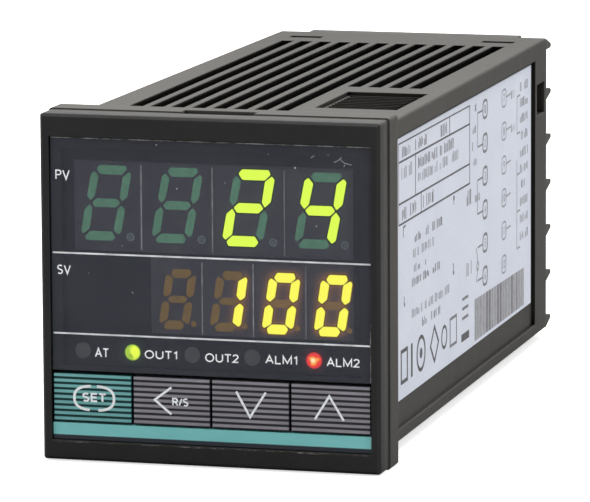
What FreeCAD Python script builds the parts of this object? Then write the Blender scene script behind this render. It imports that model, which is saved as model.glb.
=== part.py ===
import FreeCAD, Part
import Sketcher
import math
import os
import re

# Process controller for a 1/16 DIN panel cut-out: a rear case that stays in the
# panel, and a chassis (front, boards, displays, keys) that slides out of it
# forwards. Millimetres. +X is to the right seen from the front, +Y to the rear,
# +Z up. The origin is the middle of the flange's rear face, where it seats on
# the panel.

doc = FreeCAD.newDocument("panel_controller")
dims = doc.addObject("Spreadsheet::Sheet", "Dims")

SIZES = [
    # flange and sleeve of the rear case
    ("flange_half", 24.0, "half of the flange's outer side"),
    ("flange_deep", 4.35, "flange, from its seat to the seam"),
    ("flange_round", 0.4, "corner radius of the flange"),
    ("sleeve_long", 101.0, "sleeve behind the seat"),
    ("sleeve_front", 22.3, "half width of the sleeve at the seat"),
    ("sleeve_rear", 21.1, "half width of the sleeve at its rear edge"),
    ("sleeve_tall", 22.4, "half height of the sleeve"),
    ("sleeve_round", 0.3, "radius on the sleeve's long edges"),
    ("bore_front", 20.8, "half width of the bore at the seat"),
    ("bore_rear", 19.6, "half width of the bore at the rear edge"),
    ("bore_tall", 20.4, "half height of the bore"),
    ("side_recess", 0.5, "depth of the label recess"),
    ("recess_from", 4.0, "front end of the label recess"),
    ("recess_to", 93.1, "rear end of the label recess"),
    ("recess_top", 19.8, "upper edge of the label recess"),
    ("recess_low", 20.6, "lower edge of the label recess, below the middle"),
    ("slot_wide", 1.85, "width of a vent slot"),
    ("slot_pitch", 3.0, "vent slot spacing"),
    ("slot_first", 16.5, "outermost vent slot from the middle"),
    ("slot_from", 5.0, "front end of the long vent slots"),
    ("slot_short", 38.5, "front end of the short vent slots"),
    ("slot_to", 89.0, "rear end of every vent slot"),
    ("ratchet_in", 8.15, "inner side of the bracket pocket"),
    ("ratchet_out", 19.8, "outer side of the bracket pocket"),
    ("ratchet_from", 15.5, "front end of the bracket pocket"),
    ("ratchet_to", 33.0, "rear end of the bracket pocket"),
    ("ratchet_deep", 0.55, "depth of the bracket pocket"),
    ("tooth_pitch", 1.6, "bracket tooth spacing"),
    ("tooth_tall", 0.3, "bracket tooth height"),
    ("snap_in", 12.6, "inner end of a rear snap window"),
    ("snap_out", 17.6, "outer end of a rear snap window"),
    ("snap_from", 93.4, "front edge of a rear snap window"),
    ("snap_to", 95.3, "rear edge of a rear snap window"),
    ("gate_from", 94.3, "front edge of the side window"),
    ("gate_to", 99.4, "rear edge of the side window"),
    ("gate_low", 11.3, "lower edge of the side window"),
    ("gate_top", 16.0, "upper edge of the side window"),
    ("notch_half", 5.1, "half width of the release notch"),
    ("notch_to", 2.6, "release notch, from the seat to its rear wall"),
    ("notch_floor", 21.9, "height of the release notch's floor"),
    ("latch_top", 22.0, "roof of the latch channel"),
    # label
    ("label_thick", 0.15, "thickness of the label film"),
    ("label_from", 5.0, "front end of the label"),
    ("label_to", 91.7, "rear end of the label"),
    ("label_top", 19.4, "upper edge of the label"),
    ("label_low", 17.0, "lower edge of the label, below the middle"),
    # front bezel of the chassis
    ("face_half", 23.85, "half side of the bezel"),
    ("face_at", 9.0, "bezel face, in front of the seat"),
    ("seam_at", 4.65, "rear of the bezel, in front of the seat"),
    ("face_bevel", 0.4, "bevel round the bezel face"),
    ("panel_half", 22.6, "half width of the front recess"),
    ("panel_top", 20.75, "upper edge of the front recess"),
    ("panel_low", 21.1, "lower edge of the front recess, below the middle"),
    ("ledge_at", 7.3, "ledge behind the front recess, in front of the seat"),
    ("well_top", 11.7, "upper edge of the key well, below the middle"),
    ("well_low", 18.6, "lower edge of the key well, below the middle"),
    ("well_at", 5.9, "floor of the key well, in front of the seat"),
    ("ring_at", 5.2, "rear of the key well's floor, in front of the seat"),
    ("view_half", 21.2, "half width of the opening behind the window"),
    ("view_top", 19.4, "upper edge of the opening behind the window"),
    ("view_low", 11.0, "lower edge of that opening, below the middle"),
    ("skirt_half", 20.4, "half width of the skirt inside the case"),
    ("skirt_tall", 20.1, "half height of the skirt inside the case"),
    ("skirt_to", 6.0, "rear end of the skirt"),
    ("inner_half", 19.75, "half width inside the skirt"),
    ("inner_tall", 19.4, "half height inside the skirt"),
    ("tongue_half", 4.6, "half width of the latch tongue"),
    ("tongue_top", 21.5, "top of the latch tongue"),
    ("tongue_to", 3.2, "rear end of the latch tongue"),
    # window, strip and keys
    ("plate_at", 8.5, "front surface of window and strip"),
    ("plate_half", 22.5, "half width of window and strip"),
    ("window_top", 20.65, "upper edge of the window"),
    ("window_low", 11.45, "lower edge of the window, below the middle"),
    ("strip_top", 18.75, "upper edge of the strip, below the middle"),
    ("strip_low", 21.0, "lower edge of the strip, below the middle"),
    ("key_wide", 10.72, "width of a key"),
    ("key_pitch", 11.14, "key spacing"),
    ("key_extra", 0.25, "how much further the outer keys reach outwards"),
    ("key_top", 11.95, "upper edge of the keys, below the middle"),
    ("key_low", 18.4, "lower edge of the keys, below the middle"),
    ("key_at", 8.6, "front of a key, in front of the seat"),
    ("key_back", 7.0, "back of a key cap, in front of the seat"),
    ("key_mid", 15.15, "key centre line, below the middle"),
    ("boss_wide", 4.0, "width of a key's boss"),
    ("boss_tall", 3.4, "height of a key's boss"),
    ("boss_end", 5.1, "end of a key's boss, in front of the seat"),
    ("boss_gap", 0.35, "clearance round a key's boss"),
    ("rib_pitch", 0.75, "spacing of the grooves across a key"),
    ("rib_first", 12.5, "first groove, below the middle"),
    ("rib_wide", 0.3, "groove width"),
    ("rib_deep", 0.16, "groove depth"),
    # display group
    ("digits_at", 7.0, "face of the display modules, in front of the seat"),
    ("digits_half", 19.6, "half width of the upper display module"),
    ("upper_low", 5.0, "lower edge of the upper display"),
    ("upper_top", 17.3, "upper edge of the upper display"),
    ("lower_low", 6.1, "lower edge of the lower display, below the middle"),
    ("lower_top", 4.3, "upper edge of the lower display"),
    ("lower_left", 8.8, "left edge of the lower display, left of the middle"),
    ("lamp_z", 8.88, "indicator lamps, below the middle"),
    ("lamp_round", 0.9, "radius of an indicator lamp"),
    ("lamp_a", 18.58, "first lamp, left of the middle"),
    ("lamp_b", 11.5, "second lamp, left of the middle"),
    ("lamp_c", 3.03, "third lamp, left of the middle"),
    ("lamp_d", 5.45, "fourth lamp, right of the middle"),
    ("lamp_e", 14.14, "fifth lamp, right of the middle"),
    ("shade_half", 21.0, "half width of the lamp shade and of the display frame"),
    ("shade_top", 6.95, "upper edge of the lamp shade, below the middle"),
    ("shade_low", 10.8, "lower edge of the lamp shade, below the middle"),
    ("shade_back", 5.4, "back of the lamp shade and display frame, in front of the seat"),
    ("surround_top", 19.2, "upper edge of the display frame"),
    ("surround_low", 6.85, "lower edge of the display frame, below the middle"),
    ("surround_gap", 0.1, "clearance of the display frame round the modules"),
    ("switch_half", 2.9, "half side of a tact switch"),
    ("switch_deep", 3.5, "depth of a tact switch's body"),
    ("plunger_round", 1.7, "radius of a tact switch's plunger"),
    ("plunger_end", 4.45, "tip of the plunger, in front of the seat"),
    # boards
    ("board_at", 0.1, "front of the display board, behind the seat plane"),
    ("board_thick", 1.6, "thickness of every board"),
    ("front_board_tall", 19.3, "half height of the display board"),
    ("side_board_tall", 18.5, "half height of the two side boards"),
    ("side_board_from", 2.2, "front end of the side boards"),
    ("side_board_to", 90.0, "rear end of the side boards"),
    ("power_x", 11.5, "inner face of the power board"),
    ("control_x", 13.6, "inner face of the control board, left of the middle"),
    ("header_deep", 4.4, "depth of the header blocks"),
    ("header_wide", 2.5, "width of the header blocks"),
    ("header_tall", 12.0, "half height of the header blocks"),
    ("spacer_from", 80.5, "front of the rear spacer"),
    ("spacer_to", 82.5, "rear of the rear spacer"),
    ("spacer_tall", 17.5, "half height of the rear spacer"),
    ("barrier_x", 9.2, "insulation sheet, left of the middle"),
    ("barrier_thick", 0.3, "thickness of the insulation sheet"),
    # rear connection
    ("socket_from", 84.0, "mouth of the contact sockets"),
    ("socket_tall", 19.4, "half height of the contact sockets"),
    ("socket_lip", 1.6, "wall beside the board in a contact socket"),
    ("socket_gap", 0.3, "clearance beside the board in a contact socket"),
    ("socket_floor", 91.0, "bottom of the slot in a contact socket"),
    ("block_from", 93.0, "front of the terminal block's plate"),
    ("block_to", 96.5, "floor of the terminal wells"),
    ("block_half", 19.5, "half width of the terminal block's plate"),
    ("block_tall", 20.35, "half height of the terminal block's plate"),
    ("spine_half", 7.3, "half width of the block's middle spine"),
    ("spine_to", 103.7, "rear of the spine and of the top wall"),
    ("hood_half", 16.5, "half width of the block's top and bottom walls"),
    ("fin_tip", 104.3, "rear tip of a barrier fin"),
    ("fin_out", 21.05, "outer end of a barrier fin"),
    ("fin_pitch", 7.03, "barrier fin and terminal spacing"),
    ("fin_base", 1.2, "root of a fin, below its level"),
    ("fin_over", 0.6, "root of a fin, above its level"),
    ("fin_wall", 1.2, "thickness of the barrier between two wells"),
    ("fin_drop", 0.3, "centre of a barrier below its fin's flat top"),
    ("screw_x", 13.2, "terminal screw from the middle"),
    ("screw_head", 2.45, "radius of a terminal screw's head"),
    ("screw_shank", 1.45, "radius of a terminal screw's shank"),
    ("screw_end", 93.9, "inner end of a terminal screw"),
    ("plate_thick", 0.8, "thickness of a terminal plate"),
    ("clamp_thick", 0.7, "thickness of a clamp washer"),
    ("head_thick", 2.1, "height of a terminal screw's head"),
    ("tail_at", 14.7, "inner face of a terminal plate's tail, right side"),
    ("tail_left", 16.8, "inner face of a terminal plate's tail, left side"),
    ("tail_thick", 0.6, "thickness of a terminal plate's tail"),
    ("tail_half", 1.0, "half height of a terminal plate's tail"),
    ("tail_from", 87.5, "front end of a terminal plate's tail"),
]
for row, (name, value, note) in enumerate(SIZES, 1):
    dims.set("A%d" % row, note)
    dims.set("B%d" % row, str(value))
    dims.setAlias("B%d" % row, name)
doc.recompute()
KNOWN = {name for name, value, note in SIZES}


def ex(text):
    """The text with every size name turned into a reference to its cell."""
    return re.sub(
        r"[a-z_]{3,}", lambda m: "Dims." + m.group(0) if m.group(0) in KNOWN else m.group(0), str(text)
    )


def size(name):
    return float(dims.get(name))


# ---------------------------------------------------------------- helpers


def new_body(label):
    body = doc.addObject("PartDesign::Body", label)
    body.Label = label
    return body


def origin_part(body, role):
    for feature in body.Origin.OriginFeatures:
        if feature.Role == role:
            return feature


def polygon(body, role, offset, points):
    """A closed sketch on one of the body's own planes, each corner held by two sizes."""
    sketch = body.newObject("Sketcher::SketchObject", body.Name + "_sketch")
    sketch.AttachmentSupport = [(origin_part(body, role), "")]
    sketch.MapMode = "FlatFace"
    sketch.setExpression("AttachmentOffset.Base.z", ex(offset))
    count = len(points)
    ring = [
        FreeCAD.Vector(10 * math.cos(0.3 + 2 * math.pi * i / count), 10 * math.sin(0.3 + 2 * math.pi * i / count), 0)
        for i in range(count)
    ]
    for i in range(count):
        sketch.addGeometry(Part.LineSegment(ring[i], ring[(i + 1) % count]), False)
    for i in range(count):
        sketch.addConstraint(Sketcher.Constraint("Coincident", i, 2, (i + 1) % count, 1))
    for i, (across, up) in enumerate(points):
        k = sketch.addConstraint(Sketcher.Constraint("DistanceX", -1, 1, i, 1, ring[i].x))
        sketch.setExpression("Constraints[%d]" % k, ex(across))
        k = sketch.addConstraint(Sketcher.Constraint("DistanceY", -1, 1, i, 1, ring[i].y))
        sketch.setExpression("Constraints[%d]" % k, ex(up))
    return sketch


def rect(x0, x1, y0, y1):
    return [(x0, y0), (x1, y0), (x1, y1), (x0, y1)]


def feature(body, kind, name, sketch, length):
    f = body.newObject(kind, name)
    f.Profile = sketch
    f.setExpression("Length", ex(length))
    if kind == "PartDesign::Pocket":
        f.Reversed = True
    before = body.Shape.Volume if body.Tip and body.Tip != f and not body.Shape.isNull() else 0.0
    doc.recompute()
    after = f.Shape.Volume
    if kind == "PartDesign::Pocket" and not after < before - 1e-6 and before:
        raise RuntimeError("%s %s cuts nothing" % (body.Label, name))
    return f


# Along Y a sketch lies on the XZ plane, whose own axis points to the front, so
# the sketch is put at the rear end and grows forwards.
def along_y(body, kind, name, points, y0, y1):
    sketch = polygon(body, "XZ_Plane", "-(%s)" % y1, points)
    return feature(body, kind, name, sketch, "(%s) - (%s)" % (y1, y0))


def along_z(body, kind, name, points, z0, z1):
    sketch = polygon(body, "XY_Plane", z0, points)
    return feature(body, kind, name, sketch, "(%s) - (%s)" % (z1, z0))


def along_x(body, kind, name, points, x0, x1):
    sketch = polygon(body, "YZ_Plane", x0, points)
    return feature(body, kind, name, sketch, "(%s) - (%s)" % (x1, x0))


PAD, POCKET = "PartDesign::Pad", "PartDesign::Pocket"


def pattern(body, original, axis, reach, count, back=False):
    p = body.newObject("PartDesign::LinearPattern", original.Name + "_row")
    p.Originals = [original]
    p.Direction = (origin_part(body, axis), [""])
    p.Reversed = back
    p.setExpression("Length", ex(reach))
    p.Occurrences = count
    body.Tip = p
    doc.recompute()
    return p


def dress(body, kind, name, test, amount):
    """A fillet or chamfer on the edges of the body's tip that pass the test."""
    base = body.Tip
    names = ["Edge%d" % (i + 1) for i, e in enumerate(base.Shape.Edges) if test(e)]
    if not names:
        raise RuntimeError("no edges for " + name)
    f = body.newObject(kind, name)
    f.Base = (base, names)
    f.setExpression("Radius" if kind.endswith("Fillet") else "Size", ex(amount))
    body.Tip = f
    doc.recompute()
    return f


def middle(edge):
    return edge.valueAt((edge.FirstParameter + edge.LastParameter) / 2)


def runs_along(edge, axis):
    a, b = edge.Vertexes[0].Point, edge.Vertexes[-1].Point
    d = b - a
    return d.Length > 1e-6 and abs(getattr(d, axis)) > 0.9 * d.Length


def box(label, x0, x1, y0, y1, z0, z1):
    b = doc.addObject("Part::Box", label)
    b.Label = label
    for prop, lo, hi in (("Length", x0, x1), ("Width", y0, y1), ("Height", z0, z1)):
        b.setExpression(prop, ex("(%s) - (%s)" % (hi, lo)))
    for axis, lo in (("x", x0), ("y", y0), ("z", z0)):
        b.setExpression("Placement.Base." + axis, ex(lo))
    return b


TURN = {
    "x": FreeCAD.Rotation(FreeCAD.Vector(0, 1, 0), 90),
    "y": FreeCAD.Rotation(FreeCAD.Vector(1, 0, 0), -90),
    "z": FreeCAD.Rotation(),
}


def rod(label, axis, radius, start, length, u, v):
    """A cylinder along an axis. start and length run along it, u and v are its other two coordinates in X, Y, Z order."""
    c = doc.addObject("Part::Cylinder", label)
    c.Label = label
    c.Placement = FreeCAD.Placement(FreeCAD.Vector(), TURN[axis])
    c.setExpression("Radius", ex(radius))
    c.setExpression("Height", ex(length))
    place = {"x": (start, u, v), "y": (u, start, v), "z": (u, v, start)}[axis]
    for name, text in zip("xyz", place):
        c.setExpression("Placement.Base." + name, ex(text))
    return c


def fuse(label, *shapes):
    f = doc.addObject("Part::MultiFuse", label)
    f.Label = label
    f.Shapes = list(shapes)
    f.Refine = True
    return f


def cut(label, base, tool):
    f = doc.addObject("Part::Cut", label)
    f.Label = label
    f.Base, f.Tool = base, tool
    return f


def rounded(label, base, radius, test):
    doc.recompute()
    f = doc.addObject("Part::Fillet", label)
    f.Label = label
    f.Base = base
    f.Edges = [(i + 1, radius, radius) for i, e in enumerate(base.Shape.Edges) if test(e)]
    return f


def group(label, *shapes):
    g = doc.addObject("Part::Compound", label)
    g.Label = label
    g.Links = list(shapes)
    return g


NODES = []


def node(obj):
    NODES.append(obj)
    return obj


# ------------------------------------------------------------- rear case
# Sleeve with its sides drawn in towards the rear, square flange in front, open
# bore from front to rear.

case = new_body("rear_case")
along_z(
    case, PAD, "sleeve",
    [("-sleeve_front", "0"), ("sleeve_front", "0"), ("sleeve_rear", "sleeve_long"), ("-sleeve_rear", "sleeve_long")],
    "-sleeve_tall", "sleeve_tall",
)
dress(case, "PartDesign::Fillet", "sleeve_edges", lambda e: runs_along(e, "y"), "sleeve_round")
along_y(case, PAD, "flange", rect("-flange_half", "flange_half", "-flange_half", "flange_half"), "-flange_deep", "0")
dress(
    case, "PartDesign::Fillet", "flange_corners",
    lambda e: runs_along(e, "y") and abs(middle(e).x) > 23.9 and abs(middle(e).z) > 23.9,
    "flange_round",
)
along_z(
    case, POCKET, "bore",
    [
        ("-bore_front", "-flange_deep - 2"), ("bore_front", "-flange_deep - 2"),
        ("bore_front", "0"), ("bore_rear", "sleeve_long"), ("bore_rear", "sleeve_long + 2"),
        ("-bore_rear", "sleeve_long + 2"), ("-bore_rear", "sleeve_long"), ("-bore_front", "0"),
    ],
    "-bore_tall", "bore_tall",
)
# shallow recess on both sides, parallel to the drawn-in wall
slope = "(sleeve_front - sleeve_rear) / sleeve_long"
deep_at = lambda y, d: "sleeve_front - (%s) * %s - (%s)" % (y, slope, d)
for side in ("", "-"):
    along_z(
        case, POCKET, "side_recess_" + ("right" if side == "" else "left"),
        [
            ("%s(%s)" % (side, deep_at("recess_from", "side_recess")), "recess_from"),
            ("%s(%s + 3)" % (side, deep_at("recess_from", "side_recess")), "recess_from"),
            ("%s(%s + 3)" % (side, deep_at("recess_to", "side_recess")), "recess_to"),
            ("%s(%s)" % (side, deep_at("recess_to", "side_recess")), "recess_to"),
        ],
        "-recess_low", "recess_top",
    )
# vent slots: eight long ones and four short ones behind the bracket pocket, on
# top and, turned half round, underneath
for face, side in (("top", 1), ("low", -1)):
    s = "" if side == 1 else "-"
    z0, z1 = ("bore_tall - 1", "sleeve_tall + 1") if side == 1 else ("-sleeve_tall - 1", "-bore_tall + 1")

    def slots(name, centre, start, count):
        a = "%s(%s)" % (s, centre)
        f = along_z(
            case, POCKET, name,
            rect(a + " - slot_wide / 2", a + " + slot_wide / 2", start, "slot_to"), z0, z1,
        )
        pattern(case, f, "X_Axis", "slot_pitch * %d" % (count - 1), count, back=side == -1)

    slots("long_slot_" + face, "-slot_first", "slot_from", 8)
    slots("short_slot_" + face, "slot_first - 3 * slot_pitch", "slot_short", 4)
    # bracket pocket with its row of teeth
    floor = "sleeve_tall - ratchet_deep"
    if side == 1:
        x0, x1, za, zb = "ratchet_in", "ratchet_out", floor, "sleeve_tall + 1"
    else:
        x0, x1, za, zb = "-ratchet_out", "-ratchet_in", "-sleeve_tall - 1", "-(%s)" % floor
    along_z(case, POCKET, "bracket_pocket_" + face, rect(x0, x1, "ratchet_from", "ratchet_to"), za, zb)
    sign = "" if side == 1 else "-"
    tooth = along_x(
        case, PAD, "tooth_" + face,
        [
            ("ratchet_from + 0.6", "%s(%s - 0.3)" % (sign, floor)),
            ("ratchet_from + 1.6", "%s(%s - 0.3)" % (sign, floor)),
            ("ratchet_from + 1.6", "%s(%s)" % (sign, floor)),
            ("ratchet_from + 0.75", "%s(%s + tooth_tall)" % (sign, floor)),
            ("ratchet_from + 0.6", "%s(%s + tooth_tall)" % (sign, floor)),
        ],
        x0 + " + 0.9", x1 + " - 0.9",
    )
    pattern(case, tooth, "Y_Axis", "tooth_pitch * 9", 10)
    # two narrow windows for the terminal block's snaps
    for where, flip in (("right", ""), ("left", "-")):
        a, b = ("snap_in", "snap_out") if flip == "" else ("-snap_out", "-snap_in")
        along_z(case, POCKET, "snap_%s_%s" % (face, where), rect(a, b, "snap_from", "snap_to"), z0, z1)
# side windows for the block's side snaps
for where, a, b in (("right", "bore_rear - 2", "sleeve_rear + 2"), ("left", "-sleeve_rear - 2", "-bore_rear + 2")):
    along_x(case, POCKET, "gate_" + where, rect("gate_from", "gate_to", "gate_low", "gate_top"), a, b)
# latch channel under the flange's top edge, and the notch that reaches it
along_y(case, POCKET, "latch_channel", rect("-notch_half", "notch_half", "bore_tall - 1", "latch_top"), "-flange_deep - 1", "4.2")
along_y(
    case, POCKET, "release_notch", rect("-notch_half", "notch_half", "notch_floor", "flange_half + 1"),
    "-flange_deep - 1", "-notch_to",
)
node(case)

# ----------------------------------------------------------------- label
label = new_body("rating_label")
along_z(
    label, PAD, "film",
    [
        (deep_at("label_from", "side_recess"), "label_from"),
        (deep_at("label_from", "side_recess") + " + label_thick", "label_from"),
        (deep_at("label_to", "side_recess") + " + label_thick", "label_to"),
        (deep_at("label_to", "side_recess"), "label_to"),
    ],
    "-label_low", "label_top",
)
node(label)

# ------------------------------------------------------- terminal block
block = new_body("terminal_block")
along_y(block, PAD, "plate", rect("-block_half", "block_half", "-block_tall", "block_tall"), "block_from", "block_to")
along_y(block, PAD, "spine", rect("-spine_half", "spine_half", "-block_tall", "block_tall"), "block_to", "spine_to")
along_y(block, PAD, "top_wall", rect("-hood_half", "hood_half", "block_tall - 0.4", "sleeve_tall"), "sleeve_long", "spine_to")
along_y(block, PAD, "low_wall", rect("-hood_half", "hood_half", "-sleeve_tall", "-block_tall + 0.4"), "sleeve_long", "spine_to")
# barriers between the wells, five on each side inside the case
wall = along_y(
    block, PAD, "barrier_right",
    rect("spine_half - 0.5", "block_half", "-2 * fin_pitch - fin_drop - fin_wall / 2", "-2 * fin_pitch - fin_drop + fin_wall / 2"),
    "block_to - 0.2", "sleeve_long",
)
pattern(block, wall, "Z_Axis", "fin_pitch * 4", 5)
wall = along_y(
    block, PAD, "barrier_left",
    rect("-block_half", "-spine_half + 0.5", "-2 * fin_pitch - fin_drop - fin_wall / 2", "-2 * fin_pitch - fin_drop + fin_wall / 2"),
    "block_to - 0.2", "sleeve_long",
)
pattern(block, wall, "Z_Axis", "fin_pitch * 4", 5)
# fins behind the case's rear edge: blunt tips, sloping on both sides; the top
# one runs up into the corner and the lowest ends at the floor
for where, a, b in (("right", "spine_half - 0.5", "fin_out"), ("left", "-fin_out", "-spine_half + 0.5")):
    for tag, level, over, under in (
        ("", "-2 * fin_pitch", "fin_over", "fin_base"),
        ("top_", "3 * fin_pitch", "sleeve_tall - 3 * fin_pitch - 0.1", "0.45"),
        ("low_", "-3 * fin_pitch", "fin_over", "sleeve_tall - 3 * fin_pitch"),
    ):
        fin = along_x(
            block, PAD, "fin_" + tag + where,
            [
                ("sleeve_long", level + " + " + over),
                ("fin_tip - 0.7", level + " + fin_over / 2 + 0.1"),
                ("fin_tip", level + " + 0.1"),
                ("fin_tip", level + " - 0.25"),
                ("fin_tip - 0.6", level + " - 0.45"),
                ("sleeve_long", level + " - (" + under + ")"),
            ],
            a, b,
        )
        if tag == "":
            pattern(block, fin, "Z_Axis", "fin_pitch * 4", 5)
# snaps that stand in the case's windows
for where, a, b in (("right", "block_half - 1", "bore_rear + 0.6"), ("left", "-bore_rear - 0.6", "-block_half + 1")):
    along_x(block, PAD, "side_snap_" + where, rect("gate_from + 0.4", "block_to", "gate_low + 0.3", "gate_top - 0.3"), a, b)
for where, a, b in (("right", "block_half - 1", "bore_rear - 0.03"), ("left", "-bore_rear + 0.03", "-block_half + 1")):
    along_x(block, PAD, "side_pad_" + where, rect("block_from + 0.2", "block_to", "gate_low - 1", "gate_top + 1"), a, b)
# thin screens that close the case's side windows to the wells
for where, a, b in (("right", "block_half - 0.7", "bore_rear - 0.03"), ("left", "-bore_rear + 0.03", "-block_half + 0.7")):
    along_x(block, PAD, "side_screen_" + where, rect("block_to - 0.2", "gate_to + 0.4", "gate_low - 0.7", "gate_top + 0.7"), a, b)
for face, z0, z1 in (("top", "block_tall - 1", "bore_tall + 0.9"), ("low", "-bore_tall - 0.9", "-block_tall + 1")):
    for where, a, b in (("right", "snap_in + 0.3", "snap_out - 0.3"), ("left", "-snap_out + 0.3", "-snap_in - 0.3")):
        along_z(block, PAD, "snap_%s_%s" % (face, where), rect(a, b, "snap_from + 0.2", "snap_to - 0.2"), z0, z1)
# holes for the screws and slots for the terminal plates' tails
low = "-2.5 * fin_pitch - fin_drop"
for where, sx, tail0, tail1 in (
    ("right", "screw_x", "tail_at - 0.05", "tail_at + tail_thick + 0.05"),
    ("left", "-screw_x", "-tail_left - tail_thick - 0.05", "-tail_left + 0.05"),
):
    hole = along_y(
        block, POCKET, "screw_hole_" + where,
        rect(sx + " - screw_shank - 0.1", sx + " + screw_shank + 0.1", low + " - screw_shank - 0.1", low + " + screw_shank + 0.1"),
        "screw_end - 0.3", "block_to + 0.1",
    )
    pattern(block, hole, "Z_Axis", "fin_pitch * 5", 6)
    slit = along_y(
        block, POCKET, "tail_slot_" + where,
        rect(tail0, tail1, low + " - tail_half - 0.1", low + " + tail_half + 0.1"),
        "block_from - 0.1", "block_to + 0.1",
    )
    pattern(block, slit, "Z_Axis", "fin_pitch * 5", 6)
node(block)

screws, clamps, plates = [], [], []
for where, sx in (("right", "screw_x"), ("left", "-screw_x")):
    for i in range(6):
        tag = "%s_%d" % (where, i + 1)
        z = "(%s - 2.5) * fin_pitch - fin_drop" % i
        seat = "block_to + plate_thick + clamp_thick"
        head = rod("head_" + tag, "y", "screw_head", seat, "head_thick", sx, z)
        crown = rounded("crown_" + tag, head, 0.45, lambda e: abs(middle(e).y - 100.1) < 0.05 and e.Closed)
        shank = rod("shank_" + tag, "y", "screw_shank", "screw_end", "(%s) - screw_end + 0.2" % seat, sx, z)
        slot_a = box("slot_a_" + tag, sx + " - 1.9", sx + " + 1.9", "(%s) + head_thick - 1.2" % seat, "(%s) + head_thick + 1" % seat, "(%s) - 0.35" % z, "(%s) + 0.35" % z)
        slot_b = box("slot_b_" + tag, sx + " - 0.35", sx + " + 0.35", "(%s) + head_thick - 1.2" % seat, "(%s) + head_thick + 1" % seat, "(%s) - 1.9" % z, "(%s) + 1.9" % z)
        screws.append(cut("screw_" + tag, fuse("blank_" + tag, crown, shank), fuse("cross_" + tag, slot_a, slot_b)))
        clamp = box("square_" + tag, sx + " - 2.9", sx + " + 2.9", "block_to + plate_thick", "block_to + plate_thick + clamp_thick", "(%s) - 2.3" % z, "(%s) + 2.3" % z)
        clamps.append(cut("clamp_" + tag, clamp, rod("clamp_hole_" + tag, "y", "screw_shank + 0.15", "block_to", "4", sx, z)))
        if where == "right":
            x0, x1, t0, t1 = "8.2", "17.9", "tail_at", "tail_at + tail_thick"
        else:
            x0, x1, t0, t1 = "-17.9", "-8.2", "-tail_left - tail_thick", "-tail_left"
        flat = box("flat_" + tag, x0, x1, "block_to", "block_to + plate_thick", "(%s) - 2.2" % z, "(%s) + 2.2" % z)
        tail = box("tail_" + tag, t0, t1, "tail_from", "block_to + 0.2", "(%s) - tail_half" % z, "(%s) + tail_half" % z)
        plates.append(cut("contact_" + tag, fuse("strip_" + tag, flat, tail), rod("tap_" + tag, "y", "screw_shank + 0.1", "block_to - 1", "4", sx, z)))
node(group("terminal_screws", *screws))
node(group("clamp_washers", *clamps))
node(group("terminal_plates", *plates))

# contact sockets that the side boards plug into
for label_text, inner, outer, s0, s1 in (
    ("contact_socket_right", "power_x - socket_lip", "tail_at", "power_x - socket_gap", "power_x + board_thick + socket_gap"),
    ("contact_socket_left", "-tail_left", "-control_x + socket_lip", "-control_x - board_thick - socket_gap", "-control_x + socket_gap"),
):
    shell = box(label_text + "_block", inner, outer, "socket_from", "block_from", "-socket_tall", "socket_tall")
    slit = box(label_text + "_slot", s0, s1, "socket_from - 1", "socket_floor", "-socket_tall + 0.6", "socket_tall - 0.6")
    node(cut(label_text, shell, slit))

# --------------------------------------------------------- chassis front
bezel = new_body("front_bezel")
along_y(bezel, PAD, "face_block", rect("-face_half", "face_half", "-face_half", "face_half"), "-face_at", "-seam_at")
dress(bezel, "PartDesign::Fillet", "face_corners", lambda e: runs_along(e, "y"), "flange_round")
dress(
    bezel, "PartDesign::Chamfer", "face_edge",
    lambda e: abs(middle(e).y + 9.0) < 1e-3, "face_bevel",
)
along_y(bezel, PAD, "skirt", rect("-skirt_half", "skirt_half", "-skirt_tall", "skirt_tall"), "-seam_at", "skirt_to")
along_y(bezel, PAD, "tongue", rect("-tongue_half", "tongue_half", "skirt_tall - 0.3", "tongue_top"), "-seam_at", "tongue_to")
along_y(bezel, POCKET, "front_recess", rect("-panel_half", "panel_half", "-panel_low", "panel_top"), "-face_at - 1", "-ledge_at")
along_y(bezel, POCKET, "view_opening", rect("-view_half", "view_half", "-view_low", "view_top"), "-face_at - 1", "-ring_at")
along_y(bezel, POCKET, "key_well", rect("-panel_half", "panel_half", "-well_low", "-well_top"), "-face_at - 1", "-well_at")
for i in range(4):
    cx = "(%s - 1.5) * key_pitch" % i
    along_y(
        bezel, POCKET, "boss_hole_%d" % i,
        rect(
            cx + " - boss_wide / 2 - boss_gap", cx + " + boss_wide / 2 + boss_gap",
            "-key_mid - boss_tall / 2 - boss_gap", "-key_mid + boss_tall / 2 + boss_gap",
        ),
        "-face_at - 1", "-ring_at + 0.5",
    )
along_y(bezel, POCKET, "inside", rect("-inner_half", "inner_half", "-inner_tall", "inner_tall"), "-ring_at", "skirt_to + 1")
along_y(bezel, POCKET, "notch_front", rect("-notch_half", "notch_half", "notch_floor", "face_half + 1"), "-seam_at - 0.35", "-seam_at + 0.5")
node(bezel)

window = box("front_window", "-plate_half", "plate_half", "-plate_at", "-ledge_at", "-window_low", "window_top")
node(window)
strip = box("nameplate_strip", "-plate_half", "plate_half", "-plate_at", "-ledge_at", "-strip_low", "-strip_top")
node(strip)

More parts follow.
